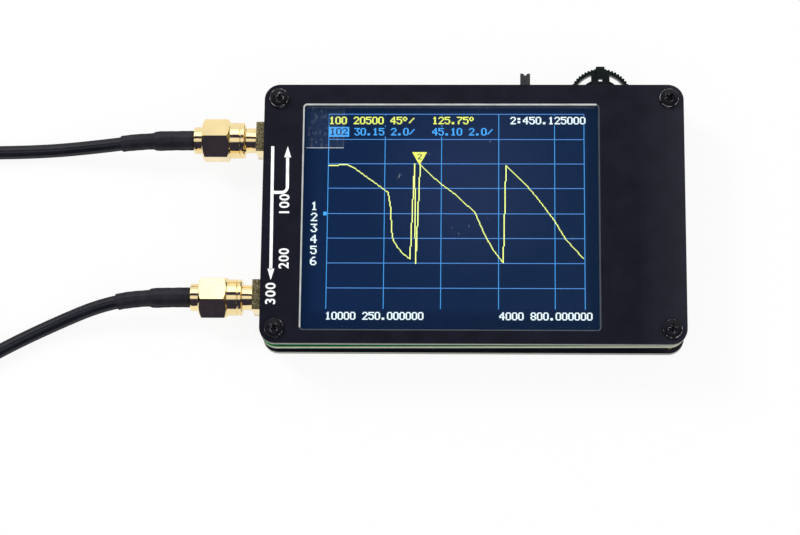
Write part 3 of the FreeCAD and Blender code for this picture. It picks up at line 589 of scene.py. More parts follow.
# Screw-on connectors. Along runs from the mating plane towards the cable; outlines are (along, radius).
connector = {
    "matingPlane": -52.3, "plugLength": 5.8, "steps": 64, "pinSteps": 24, "insulatorSteps": 48,
    "nutTurn": {"upper": 27.0, "lower": 14.0},
    "nutShift": {"upper": 0.05, "lower": 0.3},
    "hexWidth": 8.0, "hexDepth": 5.8, "hexMiddle": 0.7, "hexEdge": (0.05, 1, 50), "nutSharp": 20,
    "hexCone": [(-2.2, 0.0), (-2.2, 3.75), (-1.6, 4.64), (3.05, 4.64), (3.6, 3.80), (3.6, 0.0)],
    "nose": [(-5.15, 3.22), (-5.15, 3.52), (-5.05, 3.68), (-4.93, 3.725), (-4.52, 3.725), (-4.44, 3.68),
             (-4.40, 3.58), (-4.26, 3.58), (-4.2, 3.68), (-4.12, 3.725), (-2.0, 3.725), (-2.0, 3.15)],
    "nutThread": (-2.2, -4.6, 0.7056, [(0.0, 3.02), (0.25, 3.15), (0.35, 3.15), (0.6, 3.02)]),
    "nutBore": (2.85, 3.15, 3.0), "boreReach": 9, "mouth": -5.05,
    "plug": [(0.0, 0.0), (0.0, 2.0), (0.0, 2.18), (0.1, 2.27), (2.1, 2.27), (2.1, 2.95), (2.2, 3.0),
             (2.9, 3.0), (2.9, 2.78), (3.7, 2.78), (3.85, 2.74), (4.05, 2.74), (4.15, 2.8), (5.15, 2.8),
             (5.32, 2.74), (5.4, 2.6), (5.4, 0.0)],
    "pin": [(0.02, 0.0), (0.02, 0.45), (-1.6, 0.45), (-1.85, 0.33), (-2.0, 0.12), (-2.0, 0.0)],
    "insulator": [(-0.02, 0.5), (-0.02, 2.0), (0.05, 2.0), (0.05, 0.5)],
}


def nutMesh(turned):
    # round nose with a lip, hexagon with turned-off corners, threaded bore
    narrow, wide, step = connector["nutBore"]
    steps, reach = connector["steps"], connector["boreReach"]
    hexagon = prism(6, connector["hexWidth"] / 2 / math.cos(math.pi / 6), connector["hexDepth"],
                    Matrix.Rotation(math.pi / 2, 4, "Y"))
    rotated(moved(hexagon, (connector["hexMiddle"], 0, 0)), turned, "X")
    hexagon = crossed(hexagon, spun(connector["hexCone"], steps * 2, closed=False), "INTERSECT")
    hexagon = crossed(crossed(hexagon, rod(-reach, reach, narrow, steps)), rod(-reach, step, wide, steps))
    bevelSharp(hexagon, *connector["hexEdge"])
    nose = connector["nose"] + threadLine(*connector["nutThread"]) + [(connector["mouth"], wide)]
    return joined(hexagon, spun(nose, steps))


def makeConnector(side, end, spot, flip, turned):
    name = side + ("Far" if end else "")
    node = side + end
    parts = {"Plug": ("plug", "steps", gold, (node + "_plug",), None),
             "Pin": ("pin", "pinSteps", gold, (node + "_plug_pin",), None),
             "Insulator": ("insulator", "insulatorSteps", whiteInsulator, (), "white_insulator")}
    nut = placed(nutMesh(math.radians(turned)), spot, flip)
    made = [piece(name + "Nut", nut, gold, node + "_nut_body", (node + "_nut",), connector["nutSharp"])]
    for part, (outline, steps, material, stands, slotName) in parts.items():
        bm = placed(spun(connector[outline], connector[steps], closed=part == "Insulator"), spot, flip)
        made.append(piece(name + part, bm, material, stands=stands))
    return made


for side, (cable, near, far, end) in leads.items():
    spot = (connector["matingPlane"] + connector["nutShift"][side], lead["start"][side], lead["axis"])
    makeConnector(side, "", spot, True, connector["nutTurn"][side])
    rest = makeConnector(side, "_far", end - Vector((connector["plugLength"], 0, 0)), False, 0.0)

socket = {
    "boardEdge": -42.75,
    "barrelStart": [(0.0, 2.1), (0.0, 2.9), (1.9, 2.9), (1.95, 2.68), (2.1, 2.6), (4.05, 2.6), (4.25, 2.92)],
    "thread": (4.3, 11.0, 0.7056, [(0.0, 2.95), (0.26, 3.09), (0.35, 3.09), (0.6, 2.95)]),
    "barrelEnd": [(11.2, 2.95), (11.45, 2.75), (11.45, 2.33), (9.55, 2.33), (9.55, 2.1)],
    "flange": (1.95, 6.35, 6.35), "bore": 2.1, "leg": (4.1, 1.0, 1.0), "legMiddle": -1.95,
    "flangeEdge": 0.14, "legEdge": 0.08, "borer": (-1, 4), "borerSteps": 48,
    "legPlaces": [(y, z) for y in (-2.675, 2.675) for z in (2.6, 0.0)],
}


def socketMeshes():
    # neck with threaded barrel, and square cast flange with legs; along runs out of the board's edge
    barrel = socket["barrelStart"] + threadLine(*socket["thread"]) + socket["barrelEnd"]
    flange = block(socket["flange"], (socket["flange"][0] / 2, 0, 0), socket["flangeEdge"])
    flange = crossed(flange, rod(*socket["borer"], socket["bore"], socket["borerSteps"]))
    leg, edge, behind = socket["leg"], socket["legEdge"], socket["legMiddle"]
    legs = [block(leg, (behind, y, z), edge, 1) for y, z in socket["legPlaces"]]
    return spun(barrel, connector["steps"]), joined(flange, *legs)


for side in leads:
    barrel, flange = socketMeshes()
    spot = (socket["boardEdge"], lead["start"][side], lead["axis"])
    piece(side + "SocketBarrel", placed(barrel, spot, True), gold)
    piece(side + "Socket", placed(flange, spot, True), mottledGoldAndShade, stands=(side + "_socket",))
    dressed(side + "_socket_insulator", whiteInsulator, 0.05, 1)
    dressed(side + "_socket_contact", gold, 0.04, 1)
print("connectors made")

# Boards.
panel = {
    "length": 85.5, "width": 54.0, "thickness": 1.6, "corner": 3.2, "cornerSegments": 12,
    "frontBase": 10.7, "backBase": 1.3, "screw": (39.75, 24.0), "hole": 1.35, "edge": 0.05,
    "window": (59.87, 46.77), "windowCentre": (-4.575, -0.725), "windowCorner": 0.5, "windowSegments": 5,
    "windowEdge": 0.28, "boardWidth": 53.4, "boardBase": 6.2, "boardSlant": 0.0053,
}


def roundedSlab(length, width, base, height, corner, centre=(0, 0), segments=panel["cornerSegments"]):
    bm = block((length, width, height), (*centre, base + height / 2))
    upright = [e for e in bm.edges if abs(e.verts[0].co.z - e.verts[1].co.z) > height / 2]
    bevelled(bm, upright, corner, segments)
    return bm


def screwPlaces():
    x, y = panel["screw"]
    return [(x, y), (-x, y), (-x, -y), (x, -y)]


def chamferWindow(bm):
    # painted light and shade: the upper and left chamfers get a pale lit copy of the raw core, the other
    # chamfers and the walls a dark painted shade
    x, y = panel["windowCentre"]
    reach = [side / 2 + 0.05 for side in panel["window"]]
    rim = [e for e in bm.edges if e.is_manifold and e.calc_face_angle(0) > 1
           and all(abs(v.co.x - x) < reach[0] and abs(v.co.y - y) < reach[1] for v in e.verts)
           and abs(e.verts[0].co.z - e.verts[1].co.z) < 0.1]
    bevelled(bm, rim, panel["windowEdge"], 1)
    bm.normal_update()
    for face in bm.faces:
        spot = face.calc_center_median()
        inside = abs(spot.x - x) < reach[0] + 0.2 and abs(spot.y - y) < reach[1] + 0.2
        if inside and abs(face.normal.z) < 0.95:
            pale = face.normal.z > 0.1 and face.normal.y < 0.3 and face.normal.x > -0.3
            face.material_index = 1 if pale else 2


def boardMesh(width, base, window=False, slant=0.0):
    height = panel["thickness"]
    bm = roundedSlab(panel["length"], width, base, height, panel["corner"])
    if window:
        tool = roundedSlab(*panel["window"], base - 1, height + 2, panel["windowCorner"],
                           panel["windowCentre"], panel["windowSegments"])
        bm = crossed(bm, tool)
    for x, y in screwPlaces():
        bm = crossed(bm, prism(32, panel["hole"], 4, Matrix.Translation((x, y, base))))
    if window:
        chamferWindow(bm)
    for vert in bm.verts:
        # a slant runs the lower edge a little askew
        if vert.co.y < 0:
            vert.co.y += vert.co.x * slant
    bevelSharp(bm, panel["edge"], 1, 80)
    return bm


piece("frontPanel", boardMesh(panel["width"], panel["frontBase"], True),
      (blackBoard, litWindowChamfer, shadedWindowWall), stands=("front_panel",))
piece("backPanel", boardMesh(panel["width"], panel["backBase"]), blackBoard, stands=("back_panel",))
piece("mainBoard", boardMesh(panel["boardWidth"], panel["boardBase"], slant=panel["boardSlant"]), greenBoard,
      stands=("main_board",))
print("boards made")

# Pan-head screws with a cross recess, and the pillars between the boards. Outlines are (height, radius).
screw = {
    "head": [(0.0, 0.0), (0.02, 1.94), (0.08, 2.01), (0.30, 2.03), (0.62, 1.98), (0.74, 1.92), (0.86, 1.84),
             (0.90, 1.76), (1.06, 1.52), (1.12, 1.46), (1.12, 1.38), (1.21, 1.05), (1.27, 0.6), (1.29, 0.0)],
    "height": 1.3, "recess": 3.0, "slot": 0.66, "depth": 0.95, "taper": (0.42, 0.8), "recessTurn": 0.5,
    "shoulder": (1.85, 1.93), "skirt": (0.07, 0.3), "threadStart": -0.1,
    "threadPitch": 0.45, "thread": [(0.0, 1.25), (0.16, 1.06), (0.22, 1.06), (0.38, 1.25)],
    "front": {"shank": 2.9, "base": 12.3, "angles": (8, 52, 27, 70)},
    "back": {"shank": 7.8, "base": 1.3, "angles": (30, 0, 65, 15)},
}
pillar = {"width": 4.0, "edge": 0.12, "front": (2.9, 9.25), "back": (3.3, 4.55)}


def paintScrewGlints(bm):
    # painted glints on the shoulder, round the recess, on its walls and on the skirt
    bm.normal_update()
    for face in bm.faces:
        spot = face.calc_center_median()
        away = math.hypot(spot.x, spot.y)
        shoulder = screw["shoulder"][0] < away < screw["shoulder"][1] and face.normal.z > 0.2
        wall = away < screw["recess"] / 2 and abs(face.normal.z) < 0.5
        skirt = abs(face.normal.z) < 0.2 and screw["skirt"][0] < spot.z < screw["skirt"][1]
        if shoulder or wall or skirt:
            face.material_index = 1


def screwMesh(shank):
    bm = rotated(spun(screw["head"], 48, closed=False), -math.pi / 2, "Y")
    for angle in (0.0, math.pi / 2):
        tool = block((screw["recess"], screw["slot"], 2.0), (0, 0, screw["height"] - screw["depth"] + 1.0))
        for vert in tool.verts:
            if vert.co.z < screw["height"]:
                vert.co.x *= screw["taper"][0]
                vert.co.y *= screw["taper"][1]
        bm = crossed(bm, rotated(tool, angle + screw["recessTurn"], "Z"))
    paintScrewGlints(bm)
    thread = threadLine(screw["threadStart"], -shank + 0.5, screw["threadPitch"], screw["thread"])
    outline = [(0.0, 0.0), (0.0, 1.2), *thread, (-shank, 1.0), (-shank, 0.0)]
    return joined(bm, rotated(spun(outline, 32, closed=False), -math.pi / 2, "Y"))


def pillarMesh(height):
    bm = prism(6, pillar["width"] / 2 / math.cos(math.pi / 6), height)
    bevelSharp(bm, pillar["edge"])
    return bm


def cornerSet(maker, angles, lift, over=False):
    parts = []
    for (x, y), angle in zip(screwPlaces(), angles):
        part = rotated(maker(), math.radians(angle), "Z")
        if over:
            rotated(part, math.pi, "X")
        parts.append(moved(part, (x, y, lift)))
    return joined(*parts)


for side in ("front", "back"):
    values = screw[side]
    heads = cornerSet(lambda: screwMesh(values["shank"]), values["angles"], values["base"], side == "back")
    piece(side + "Screws", heads, (screwBlack, screwGlints), stands=(side + "_screws",))
for side in ("front", "back"):
    height, middle = pillar[side]
    pillars = cornerSet(lambda: pillarMesh(height), (0,) * 4, middle)
    piece(side + "Pillars", pillars, brass, stands=(side + "_standoffs",))
print("screws made")

# Screen: lit cell, touch panel and its protective film.
screen = {
    "lineWidth": 0.15, "dot": 0.19, "level": 10.012,
    "digitOverlap": 1.02, "traceOverlap": 1.15,  # width of a run of dots against the height of its row
    "across": [21.38, 16.0, 10.82, 5.64, 0.3, -4.85, -10.03, -15.21], "acrossEnds": (-29.67, 22.61),
    "up": [-29.6, -18.04, -6.5, 5.16, 16.54, 22.54], "upEnds": (-19.5, 21.38),
    "trace": [
        (-29.5, 10.46), (-27.8, 10.47), (-27.19, 10.7), (-25.76, 10.7), (-24.52, 10.15), (-20.9, 7.4),
        (-17.31, 4.67), (-16.7, 1.2), (-16.46, -3.2), (-16.1, -5.32), (-15.25, -6.86), (-14.1, -8.1),
        (-12.69, -9.18), (-12.06, 10.81), (-11.51, -10.05), (-10.87, 10.6), (-8.65, 8.61), (-6.44, 6.5),
        (-3.56, 4.42), (-2.46, 3.22), (0.36, 0.5), (2.37, -4.06), (4.12, -7.33), (6.08, -9.86),
        (6.73, 10.41), (10.77, 6.19), (13.26, 3.15), (16.28, -1.04), (18.79, -5.06), (22.26, -9.02),
    ],
    # tone, digits, left, bottom, width and height of one digit
    "texts": [("Yellow", "100 20500 45o/", -29.6, 19.25, 1.257, 1.58),
              ("Yellow", "125.75o", -8.45, 19.25, 1.257, 1.58),
              ("Blue", "30.15 2.0/", -24.4, 16.85, 1.25, 1.58),
              ("Blue", "45.10 2.0/", -8.45, 16.85, 1.25, 1.58),
              ("White", "2:450.125000", 7.5, 19.25, 1.29, 1.58),
              ("White", "10000 250.000000", -29.7, -21.75, 1.244, 1.6),
              ("White", "4000 800.000000", 5.3, -21.75, 1.253, 1.6),
              ("Dark", "102", -29.4, 16.9, 1.25, 1.5), ("Dark", "2", -11.4, 11.75, 0.95, 1.2)],
    "scale": ("123456", -32.98, 1.0, -2.3, 1.45, 1.75),
    "marker": [(-10.98, 10.5), (-9.46, 13.3), (-12.5, 13.3)],
    "bars": [((-29.6, 17.6), (-25.45, 17.6), 2.1), ((-30.45, 0.3), (-29.75, 0.3), 0.75)],
    "lift": {"Ground": 0.002, "bars": 0.004, "texts": 0.006, "trace": 0.008, "marker": 0.010, "Dark": 0.013},
    "field": [(0.0, (0.0030, 0.0190, 0.0640)), (0.35, (0.0048, 0.0200, 0.0620)),
              (1.0, (0.0068, 0.0225, 0.0600))],
    "fieldEnds": (-0.030, 0.022),
    "glow": (-1.2, 6.6, 10.0), "glowColor": (0.0105, 0.0110, 0.0210), "glowEnds": (0.005, 0.0215),
    "margin": (0.60, 0.68, 0.66),
    "picture": (("X", -0.0342, -0.0315), ("X", 0.0236, 0.0226), ("Y", -0.0212, -0.0192),
                ("Y", 0.0222, 0.0214)),
    "rows": 870.0, "rowDim": (0.93, 0.93, 0.93),
}


def litMaterial(name, color, strength):
    material = newMaterial(name, Base_Color=(*shaded(color, 0.25), 1), Roughness=0.5, Specular_IOR_Level=0.0,
                           Emission_Strength=strength)
    link(material, cloudy(material, 1500, 1, color, shaded(color, 0.88)), "Emission Color")
    return material


def cellMaterial():
    # navy cell, a little paler round its middle and darker outside the picture
    material = newMaterial("litCell", Base_Color=(0.003, 0.005, 0.012, 1), Roughness=0.25,
                           Specular_IOR_Level=0.0, Emission_Strength=1.0)
    black, full = (0.0, 0.0, 0.0), (1.0, 1.0, 1.0)
    axes = placeAxes(material)
    field = ramp(material, spread(material, axes["X"], 0, 1, *screen["fieldEnds"]), *screen["field"])
    values = {0: place(material), 1: shaded(screen["glow"], mm)}
    away = addNode(material, "VectorMath", values, operation="DISTANCE")
    near = spread(material, away.outputs["Value"], 1, 0, *screen["glowEnds"])
    light = blend(material, 1.0, field, blend(material, near, black, screen["glowColor"]), "ADD")
    inside = 1.0
    for axis, start, end in screen["picture"]:
        inside = sums(material, "MULTIPLY", inside, spread(material, axes[axis], 0, 1, start, end))
    light = blend(material, 1.0, light, blend(material, inside, screen["margin"], full), "MULTIPLY")
    values = {"Vector": place(material), "Scale": screen["rows"]}
    rows = addNode(material, "TexWave", values, bands_direction="Y").outputs["Fac"]
    dim = blend(material, spread(material, rows, 0, 1, 0, 1), screen["rowDim"], full)
    link(material, blend(material, 1.0, light, dim, "MULTIPLY"), "Emission Color")
    return material


litCell = cellMaterial()
lit = {name: litMaterial("lit" + name, color, strength) for name, color, strength in (
    ("Yellow", (0.88, 0.96, 0.16), 1.1), ("White", (0.86, 0.98, 1.0), 1.1), ("Blue", (0.08, 0.44, 1.0), 0.97),
    ("Dark", (0.02, 0.06, 0.14), 0.6), ("Trace", (0.90, 1.0, 0.26), 1.35),
    ("Across", (0.11, 0.32, 0.76), 0.95), ("Up", (0.07, 0.37, 0.84), 1.05))}


def strip(bm, start, end, width, level):
    # one flat bar between two places
    a, b = Vector((*start, level)), Vector((*end, level))
    angle = math.atan2(b.y - a.y, b.x - a.x)
    matrix = Matrix.Translation((a + b) / 2) @ Matrix.Rotation(angle, 4, "Z")
    matrix = matrix @ Matrix.Diagonal(((b - a).length, width, 1, 1))
    bmesh.ops.create_grid(bm, x_segments=1, y_segments=1, size=0.5, matrix=matrix)


def triangle(bm, corners, level):
    # flat, with its face up when the corners go anticlockwise
    made = bmesh.ops.create_circle(bm, cap_ends=True, segments=3, radius=1)
    for vert, corner in zip(sorted(made["verts"], key=lambda v: math.atan2(v.co.y, v.co.x)), corners):
        vert.co = (*corner, level)


# Digits on a grid five dots wide and seven high, one number per row of dots.
digits = {
    "0": (14, 17, 17, 17, 17, 17, 14), "1": (4, 12, 4, 4, 4, 4, 14), "2": (14, 17, 1, 2, 4, 8, 31),
    "3": (31, 2, 4, 2, 1, 17, 14), "4": (2, 6, 10, 18, 31, 2, 2), "5": (31, 16, 30, 1, 1, 17, 14),
    "6": (6, 8, 16, 30, 17, 17, 14), "7": (31, 1, 2, 4, 8, 8, 8), "8": (14, 17, 17, 14, 17, 17, 14),
    "9": (14, 17, 17, 15, 1, 2, 12), ".": (0, 0, 0, 0, 0, 12, 12), ":": (0, 12, 12, 0, 12, 12, 0),
    "/": (0, 1, 2, 4, 8, 16, 0), "o": (12, 18, 18, 12, 0, 0, 0), " ": (0,) * 7,
}


def dots(bm, text, left, bottom, width, height, level):
    # dot-matrix digits from left to right, in a box of the given size per digit
    dotWide, dotHigh = width / 6, height / 7
    for k, letter in enumerate(text):
        for row, bits in enumerate(digits[letter]):
            y = bottom + (6.5 - row) * dotHigh
            column = 0
            while column < 5:
                run = 0
                while column + run < 5 and bits >> (4 - column - run) & 1:
                    run += 1
                if run:
                    x = left + k * width + column * dotWide
                    strip(bm, (x, y), (x + (run + 0.5) * dotWide, y), dotHigh * screen["digitOverlap"], level)
                column += run + 1


def dotted(bm, start, end, level):
    # a line as a screen draws it: one short run of dots for each row or column that it crosses
    dot = screen["dot"]
    a, b = (tuple(round(value / dot) for value in spot) for spot in (start, end))
    far = max(abs(b[0] - a[0]), abs(b[1] - a[1]), 1)
    line = 0 if abs(b[1] - a[1]) > abs(b[0] - a[0]) else 1  # the axis that stays the same in one run
    cells = [tuple(round(a[k] + (b[k] - a[k]) * step / far) for k in (0, 1)) for step in range(far + 1)]
    first = 0
    for k in range(1, len(cells) + 1):
        if k == len(cells) or cells[k][line] != cells[first][line]:
            still = cells[first][line] * dot
            low, high = sorted((cells[first][1 - line], cells[k - 1][1 - line]))
            along = (low * dot - dot / 2, high * dot + dot / 2)
            ends = [(value, still) if line else (still, value) for value in along]
            strip(bm, *ends, dot * screen["traceOverlap"], level)
            first = k


def stripsPiece(name, material, bars):
    bm = bmesh.new()
    for bar in bars:
        strip(bm, *bar)
    piece(name, bm, material)


levels = {name: screen["level"] + lift for name, lift in screen["lift"].items()}
left, right = screen["acrossEnds"]
low, high = screen["upEnds"]
ruled = (screen["lineWidth"], screen["level"])
across = [((left, y), (right, y), *ruled) for y in screen["across"]]
upright = [((x, low), (x, high), *ruled) for x in screen["up"]]
stripsPiece("screenAcross", lit["Across"], across)
stripsPiece("screenUpright", lit["Up"], upright)
traces = bmesh.new()
for start, end in zip(screen["trace"], screen["trace"][1:]):
    dotted(traces, start, end, levels["trace"])
piece("screenTrace", traces, lit["Trace"])

tones = {**{tone: lit[tone] for tone in ("Yellow", "White", "Blue", "Dark")}, "Ground": litCell}
meshes = {tone: bmesh.new() for tone in tones}
triangle(meshes["Yellow"], screen["marker"], levels["marker"])
for start, end, width in screen["bars"]:
    strip(meshes["Blue"], start, end, width, levels["bars"])
column, left, bottom, step, width, height = screen["scale"]
scale = [("White", digit, left, bottom + step * k, width, height) for k, digit in enumerate(column)]
for tone, text, left, bottom, width, height in screen["texts"] + scale:
    # each line of digits clears the grid behind it
    end, middle = left + width * len(text), bottom + height / 2
    if tone != "Dark":
        strip(meshes["Ground"], (left, middle), (end, middle), height + 0.5, levels["Ground"])
    dots(meshes[tone], text, left, bottom, width, height, levels.get(tone, levels["texts"]))
for tone, material in tones.items():
    piece("screen" + tone, meshes[tone], material)


def coverMaterial(name, gloss, specks, milky=0.0, tab=None):
    # clear cover: light passes straight through, with a skin of gloss and faint marks
    material = emptied(bpy.data.materials.new(name))
    clear = addNode(material, "BsdfTransparent", {"Color": (0.97, 0.98, 1.0, 1)}).outputs[0]
    skin = addNode(material, "BsdfGlossy", {"Roughness": gloss}).outputs[0]
    veil = addNode(material, "BsdfDiffuse", {"Color": (0.6, 0.65, 0.7, 1)}).outputs[0]
    # more gloss at a slant, and the same from inside as from outside
    slant = spread(material, sums(material, "POWER", turnedAway(material), 5.0), 0.034, 0.45, 0, 1)
    marks = spread(material, noise(material, 1500, 4, (1, 0.6, 1)), milky, milky + specks, 0.54, 0.72)
    if tab:
        # only the pull tab in the upper left corner is cloudy
        axes = placeAxes(material)
        left = sums(material, "LESS_THAN", axes["X"], tab[0] * mm)
        over = sums(material, "GREATER_THAN", axes["Y"], tab[1] * mm)
        marks = sums(material, "MULTIPLY", marks, sums(material, "MULTIPLY", left, over))
    whole = mixed(material, marks, mixed(material, slant, clear, skin), veil)
    addNode(material, "OutputMaterial", {"Surface": whole})
    return material


film = {
    "level": 10.853, "left": -34.2, "right": 25.05, "top": 22.52, "tab": (-26.5, 13.95),
    "rimWidth": 0.16, "tabWidths": (0.11, 0.12), "scratchWidth": 0.09,
    "scratches": [((-15.5, 7.4), (-14.6, 8.3)), ((-15.2, 7.9), (-14.9, 8.5)), ((-0.9, -2.2), (-0.8, -2.7)),
                  ((-3.0, -3.8), (-2.8, -4.3)), ((-4.5, -2.7), (-4.1, -2.9)), ((3.2, 15.4), (3.6, 15.3)),
                  ((2.8, -0.8), (3.0, -1.1)), ((-9.1, 12.8), (-8.9, 12.5)), ((20.1, -5.4), (20.1, -4.6))],
}
dressed("lcd_backlight", trayPlastic, 0.2)
dressed("lcd_glass", litCell, 0.05, 1)
dressed("touch_panel", coverMaterial("touchClear", 0.03, 0.01), 0.06, 1)
dressed("screen_film", coverMaterial("filmClear", 0.05, 0.06, 0.009, film["tab"]), 0.02, 1)


tabX, tabY = film["tab"]
left, right, top, level = (film[key] for key in ("left", "right", "top", "level"))
stripsPiece("filmRim", coverMaterial("filmEdge", 0.2, 0.08, 0.10), [
    ((left, top), (right, top), film["rimWidth"], level),
    ((tabX, top), film["tab"], film["tabWidths"][0], level)])
stripsPiece("filmScratches", coverMaterial("scratched", 0.2, 0.2, 0.22), [
    (*ends, film["scratchWidth"], level) for ends in film["scratches"]])
stripsPiece("filmTab", coverMaterial("tabEdge", 0.2, 0.05, 0.92), [
    ((left, tabY), film["tab"], film["tabWidths"][1], level)])
print("screen lit")

# White printing on the front panel: two arrows, one branching off the other, and plain numbers.
printing = {
    "level": 12.308, "width": 0.62, "head": (1.4, 2.35), "bend": 1.15, "bendSteps": 8,
    "main": ((-40.86, 13.85), (-40.66, -12.0)), "mainTip": (-40.63, -14.15),
    "branch": (-40.5, 4.1), "branchTurn": -37.7, "branchEnd": (-37.78, 11.6), "branchTip": (-37.78, 13.85),
    "numbers": [("numberFirst", "100", (-38.24, 1.75), (4.0, 2.1)),
                ("numberSecond", "200", (-38.11, -9.67), (4.2, 2.1)),
                ("numberThird", "300", (-40.63, -16.91), (4.4, 2.1))],
    "letterSize": 3, "letterSpacing": 1.1, "letterWeight": 0.06,
}
ink = plasticMaterial("whiteInk", (0.80, 0.81, 0.82), 0.6, 1800, 0.01)
inkLevel = printing["level"]


def arrowHead(bm, tip, upward):
    wide, long = printing["head"]
    low = tip[1] - upward * long
    triangle(bm, [tip, (tip[0] - upward * wide / 2, low), (tip[0] + upward * wide / 2, low)], inkLevel)


def quarterBend(bm, x, y):
    # the end of a level line, spun a quarter turn until it points up
    matrix = Matrix.Translation((x, y, inkLevel)) @ Matrix.Diagonal((0.001, printing["width"], 1, 1))
    made = bmesh.ops.create_grid(bm, x_segments=1, y_segments=1, size=0.5, matrix=matrix)
    for vert in made["verts"]:
        vert.co.x = x
    end = [e for e in {e for v in made["verts"] for e in v.link_edges} if e.calc_length() > 0.1][0]
    bmesh.ops.spin(bm, geom=[end, *end.verts], cent=(x, y + printing["bend"], inkLevel), axis=(0, 0, 1),
                   angle=math.pi / 2, steps=printing["bendSteps"])


def panelLines():
    bm = bmesh.new()
    width, bend = printing["width"], printing["bend"]
    start, turnX = printing["branch"], printing["branchTurn"]
    strip(bm, *printing["main"], width, inkLevel)
    arrowHead(bm, printing["mainTip"], -1)
    strip(bm, start, (turnX - bend, start[1]), width, inkLevel)
    quarterBend(bm, turnX - bend, start[1])
    strip(bm, (turnX, start[1] + bend), printing["branchEnd"], width, inkLevel)
    arrowHead(bm, printing["branchTip"], 1)
    bmesh.ops.recalc_face_normals(bm, faces=bm.faces)
    for face in bm.faces:
        if face.normal.z < 0:
            face.normal_flip()
    piece("panelLines", bm, ink)


def printedNumber(name, text, centre, box):
    # plain number that reads from bottom to top, as large as the box
    letters = bpy.data.curves.new(name, "FONT")
    letters.body = text
    letters.size = printing["letterSize"]
    letters.space_character = printing["letterSpacing"]
    letters.offset = printing["letterWeight"]
    letters.resolution_u = 3
    holder = newObject(name, letters)
    bpy.context.view_layer.update()
    bm = shapeOf(holder)
    low = [min(v.co[axis] for v in bm.verts) for axis in (0, 1)]
    high = [max(v.co[axis] for v in bm.verts) for axis in (0, 1)]
    moved(bm, (-(low[0] + high[0]) / 2, -(low[1] + high[1]) / 2, 0))
    bmesh.ops.scale(bm, vec=(box[0] / (high[0] - low[0]), box[1] / (high[1] - low[1]), 1), verts=bm.verts)
    piece(name, moved(rotated(bm, math.pi / 2, "Z"), (*centre, inkLevel)), ink)


panelLines()
for values in printing["numbers"]:
    printedNumber(*values)
print("printing done")

# Thumbwheel and slide switch. Light shows through the window in the wheel's block and the notch under it.
jog = {"centre": (26.2, 26.0), "notch": (0.85, 2.1, 12), "notchMiddle": (4.75, 4.6)}


def notched(node, body, width):
    x, y = jog["centre"]
    ahead, height = jog["notchMiddle"]
    bm = crossed(copyOf(node), block(jog["notch"], (x, y + ahead, height)))
    bevelSharp(bm, width, 1)
    piece(node + "Shell", bm, wheelPlastic, body, (node,))


dressed("jog_wheel", wheelPlastic, 0.07, 2, "jog_turn")
notched("jog_carriage", "jog_press", 0.04)
notched("jog_housing", tableBody, 0.1)
dressed("power_switch_knob", switchPlastic, 0.1, 2, "power_slider")
dressed("power_switch_frame", tin, 0.08)

# What lies between the boards: finish, width of the broken edges and their segments.
inner = {
    "usb_shell": (tin, 0.05, 1), "usb_tongue": (chipPlastic, 0.06, 1), "battery_cell": (tin, 0.2, 2),
    "battery_tabs": (tin, 0.03, 1), "rf_shields": (tin, 0.12, 2), "processor_chip": (chipPlastic, 0.08, 1),
    "codec_chip": (chipPlastic, 0.08, 1), "synthesizer_chip": (chipPlastic, 0.08, 1),
    "power_chips": (chipPlastic, 0.08, 1), "oscillator": (tin, 0.12, 2), "passives": (ceramic, 0.06, 1),
    "status_lights": (clearLight, 0.06, 1), "lcd_flex": (ceramic, 0.03, 1),
}
for node, values in inner.items():
    dressed(node, *values)
print("inner parts dressed")

# White table, soft studio light.
studio = {
    "tableSize": 6.0, "tableColor": (0.86, 0.86, 0.87, 1), "worldDiffuse": 0.55, "tableShare": 0.9,
    # brightness of what shines in metal, by the angle from straight up towards the front edge
    "mirrored": [(-100, 1.0), (-62, 1.0), (-56, 2.0), (-27, 2.0), (-22, 0.03), (-4, 0.03), (-1, 1.0),
                 (21, 1.0), (27, 0.03), (88, 0.03), (94, 1.0)],
    "darkBelow": 0.1, "darkTint": (1.0, 1.0, 2.6),
    "quiet": (1.0, 0.4, 0.5, 0.8),  # strength in the middle and at the ends of the room, and between where
    "lamps": [("keyBox", (-0.75, 0.60, 0.85), 0.5, 10.0), ("fillBox", (0.6, -0.5, 0.8), 0.7, 4.0)],
}


def eitherRay(owner, *kinds):
    # 1 for a ray of any of these kinds
    rays = addNode(owner, "LightPath").outputs
    seen = rays[kinds[0]]
    for kind in kinds[1:]:
        seen = sums(owner, "MAXIMUM", seen, rays[kind])
    return seen


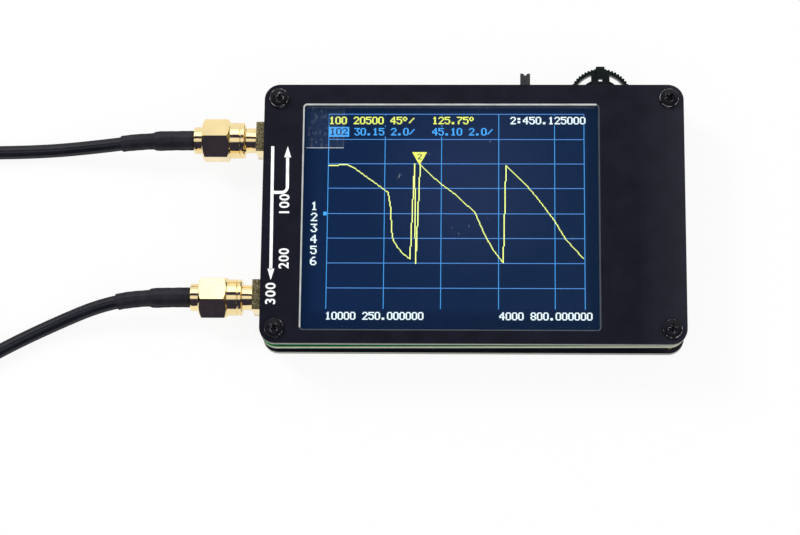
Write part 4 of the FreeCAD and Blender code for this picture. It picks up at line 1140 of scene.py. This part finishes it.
def makeTable():
    bm = bmesh.new()
    bmesh.ops.create_grid(bm, x_segments=1, y_segments=1, size=studio["tableSize"] / 2)
    mesh = meshOf(bm, "table")
    material = emptied(bpy.data.materials.new("tableWhite"))
    cloth = addNode(material, "BsdfDiffuse", {"Color": studio["tableColor"]}).outputs[0]
    glow = addNode(material, "Emission", {"Color": (1, 1, 1, 1)}).outputs[0]
    seen = eitherRay(material, "Is Camera Ray", "Is Glossy Ray", "Is Transmission Ray")
    share = sums(material, "MULTIPLY", seen, studio["tableShare"])
    addNode(material, "OutputMaterial", {"Surface": mixed(material, share, cloth, glow)})
    mesh.materials.append(material)
    made = newObject("table", mesh)


def makeWorld():
    # soft white light, clean white behind, and dark and bright bands for what shines
    world = emptied(bpy.data.worlds.new("studio"))
    bpy.context.scene.world = world
    white = {"Color": (1, 1, 1, 1)}
    soft = addNode(world, "Background", {**white, "Strength": studio["worldDiffuse"]}).outputs[0]
    clean = addNode(world, "Background", white).outputs[0]
    where = addNode(world, "TexCoord").outputs["Generated"]
    axes = addNode(world, "SeparateXYZ", {0: where}).outputs
    angle = sums(world, "ARCTAN2", sums(world, "MULTIPLY", axes["Y"], -1.0), axes["Z"])
    bands = []
    for degrees, level in studio["mirrored"]:
        tint = studio["darkTint"] if level < studio["darkBelow"] else (1, 1, 1)
        bands.append(((degrees + 180) / 360, shaded(tint, level)))
    tones = ramp(world, spread(world, angle, 0, 1, -math.pi, math.pi), *bands)
    quiet = spread(world, sums(world, "ABSOLUTE", axes["X"]), *studio["quiet"])
    mirror = addNode(world, "Background", {"Color": tones, "Strength": quiet}).outputs[0]
    first = mixed(world, eitherRay(world, "Is Glossy Ray"), soft, mirror)
    second = mixed(world, eitherRay(world, "Is Camera Ray", "Is Transmission Ray"), first, clean)
    addNode(world, "OutputWorld", {"Surface": second})


def softBox(name, spot, size, power):
    # round lamp, aimed at the instrument and not seen in its shine
    data = bpy.data.lights.new(name, "AREA")
    data.shape = "DISK"
    data.size = size
    data.energy = power
    made = newObject(name, data)
    turned = Vector(spot).to_track_quat("Z", "Y").to_matrix().to_4x4()
    made.matrix_world = Matrix.Translation(Vector(spot)) @ turned
    made.visible_glossy = False


makeTable()
makeWorld()
for values in studio["lamps"]:
    softBox(*values)
print("studio lit")
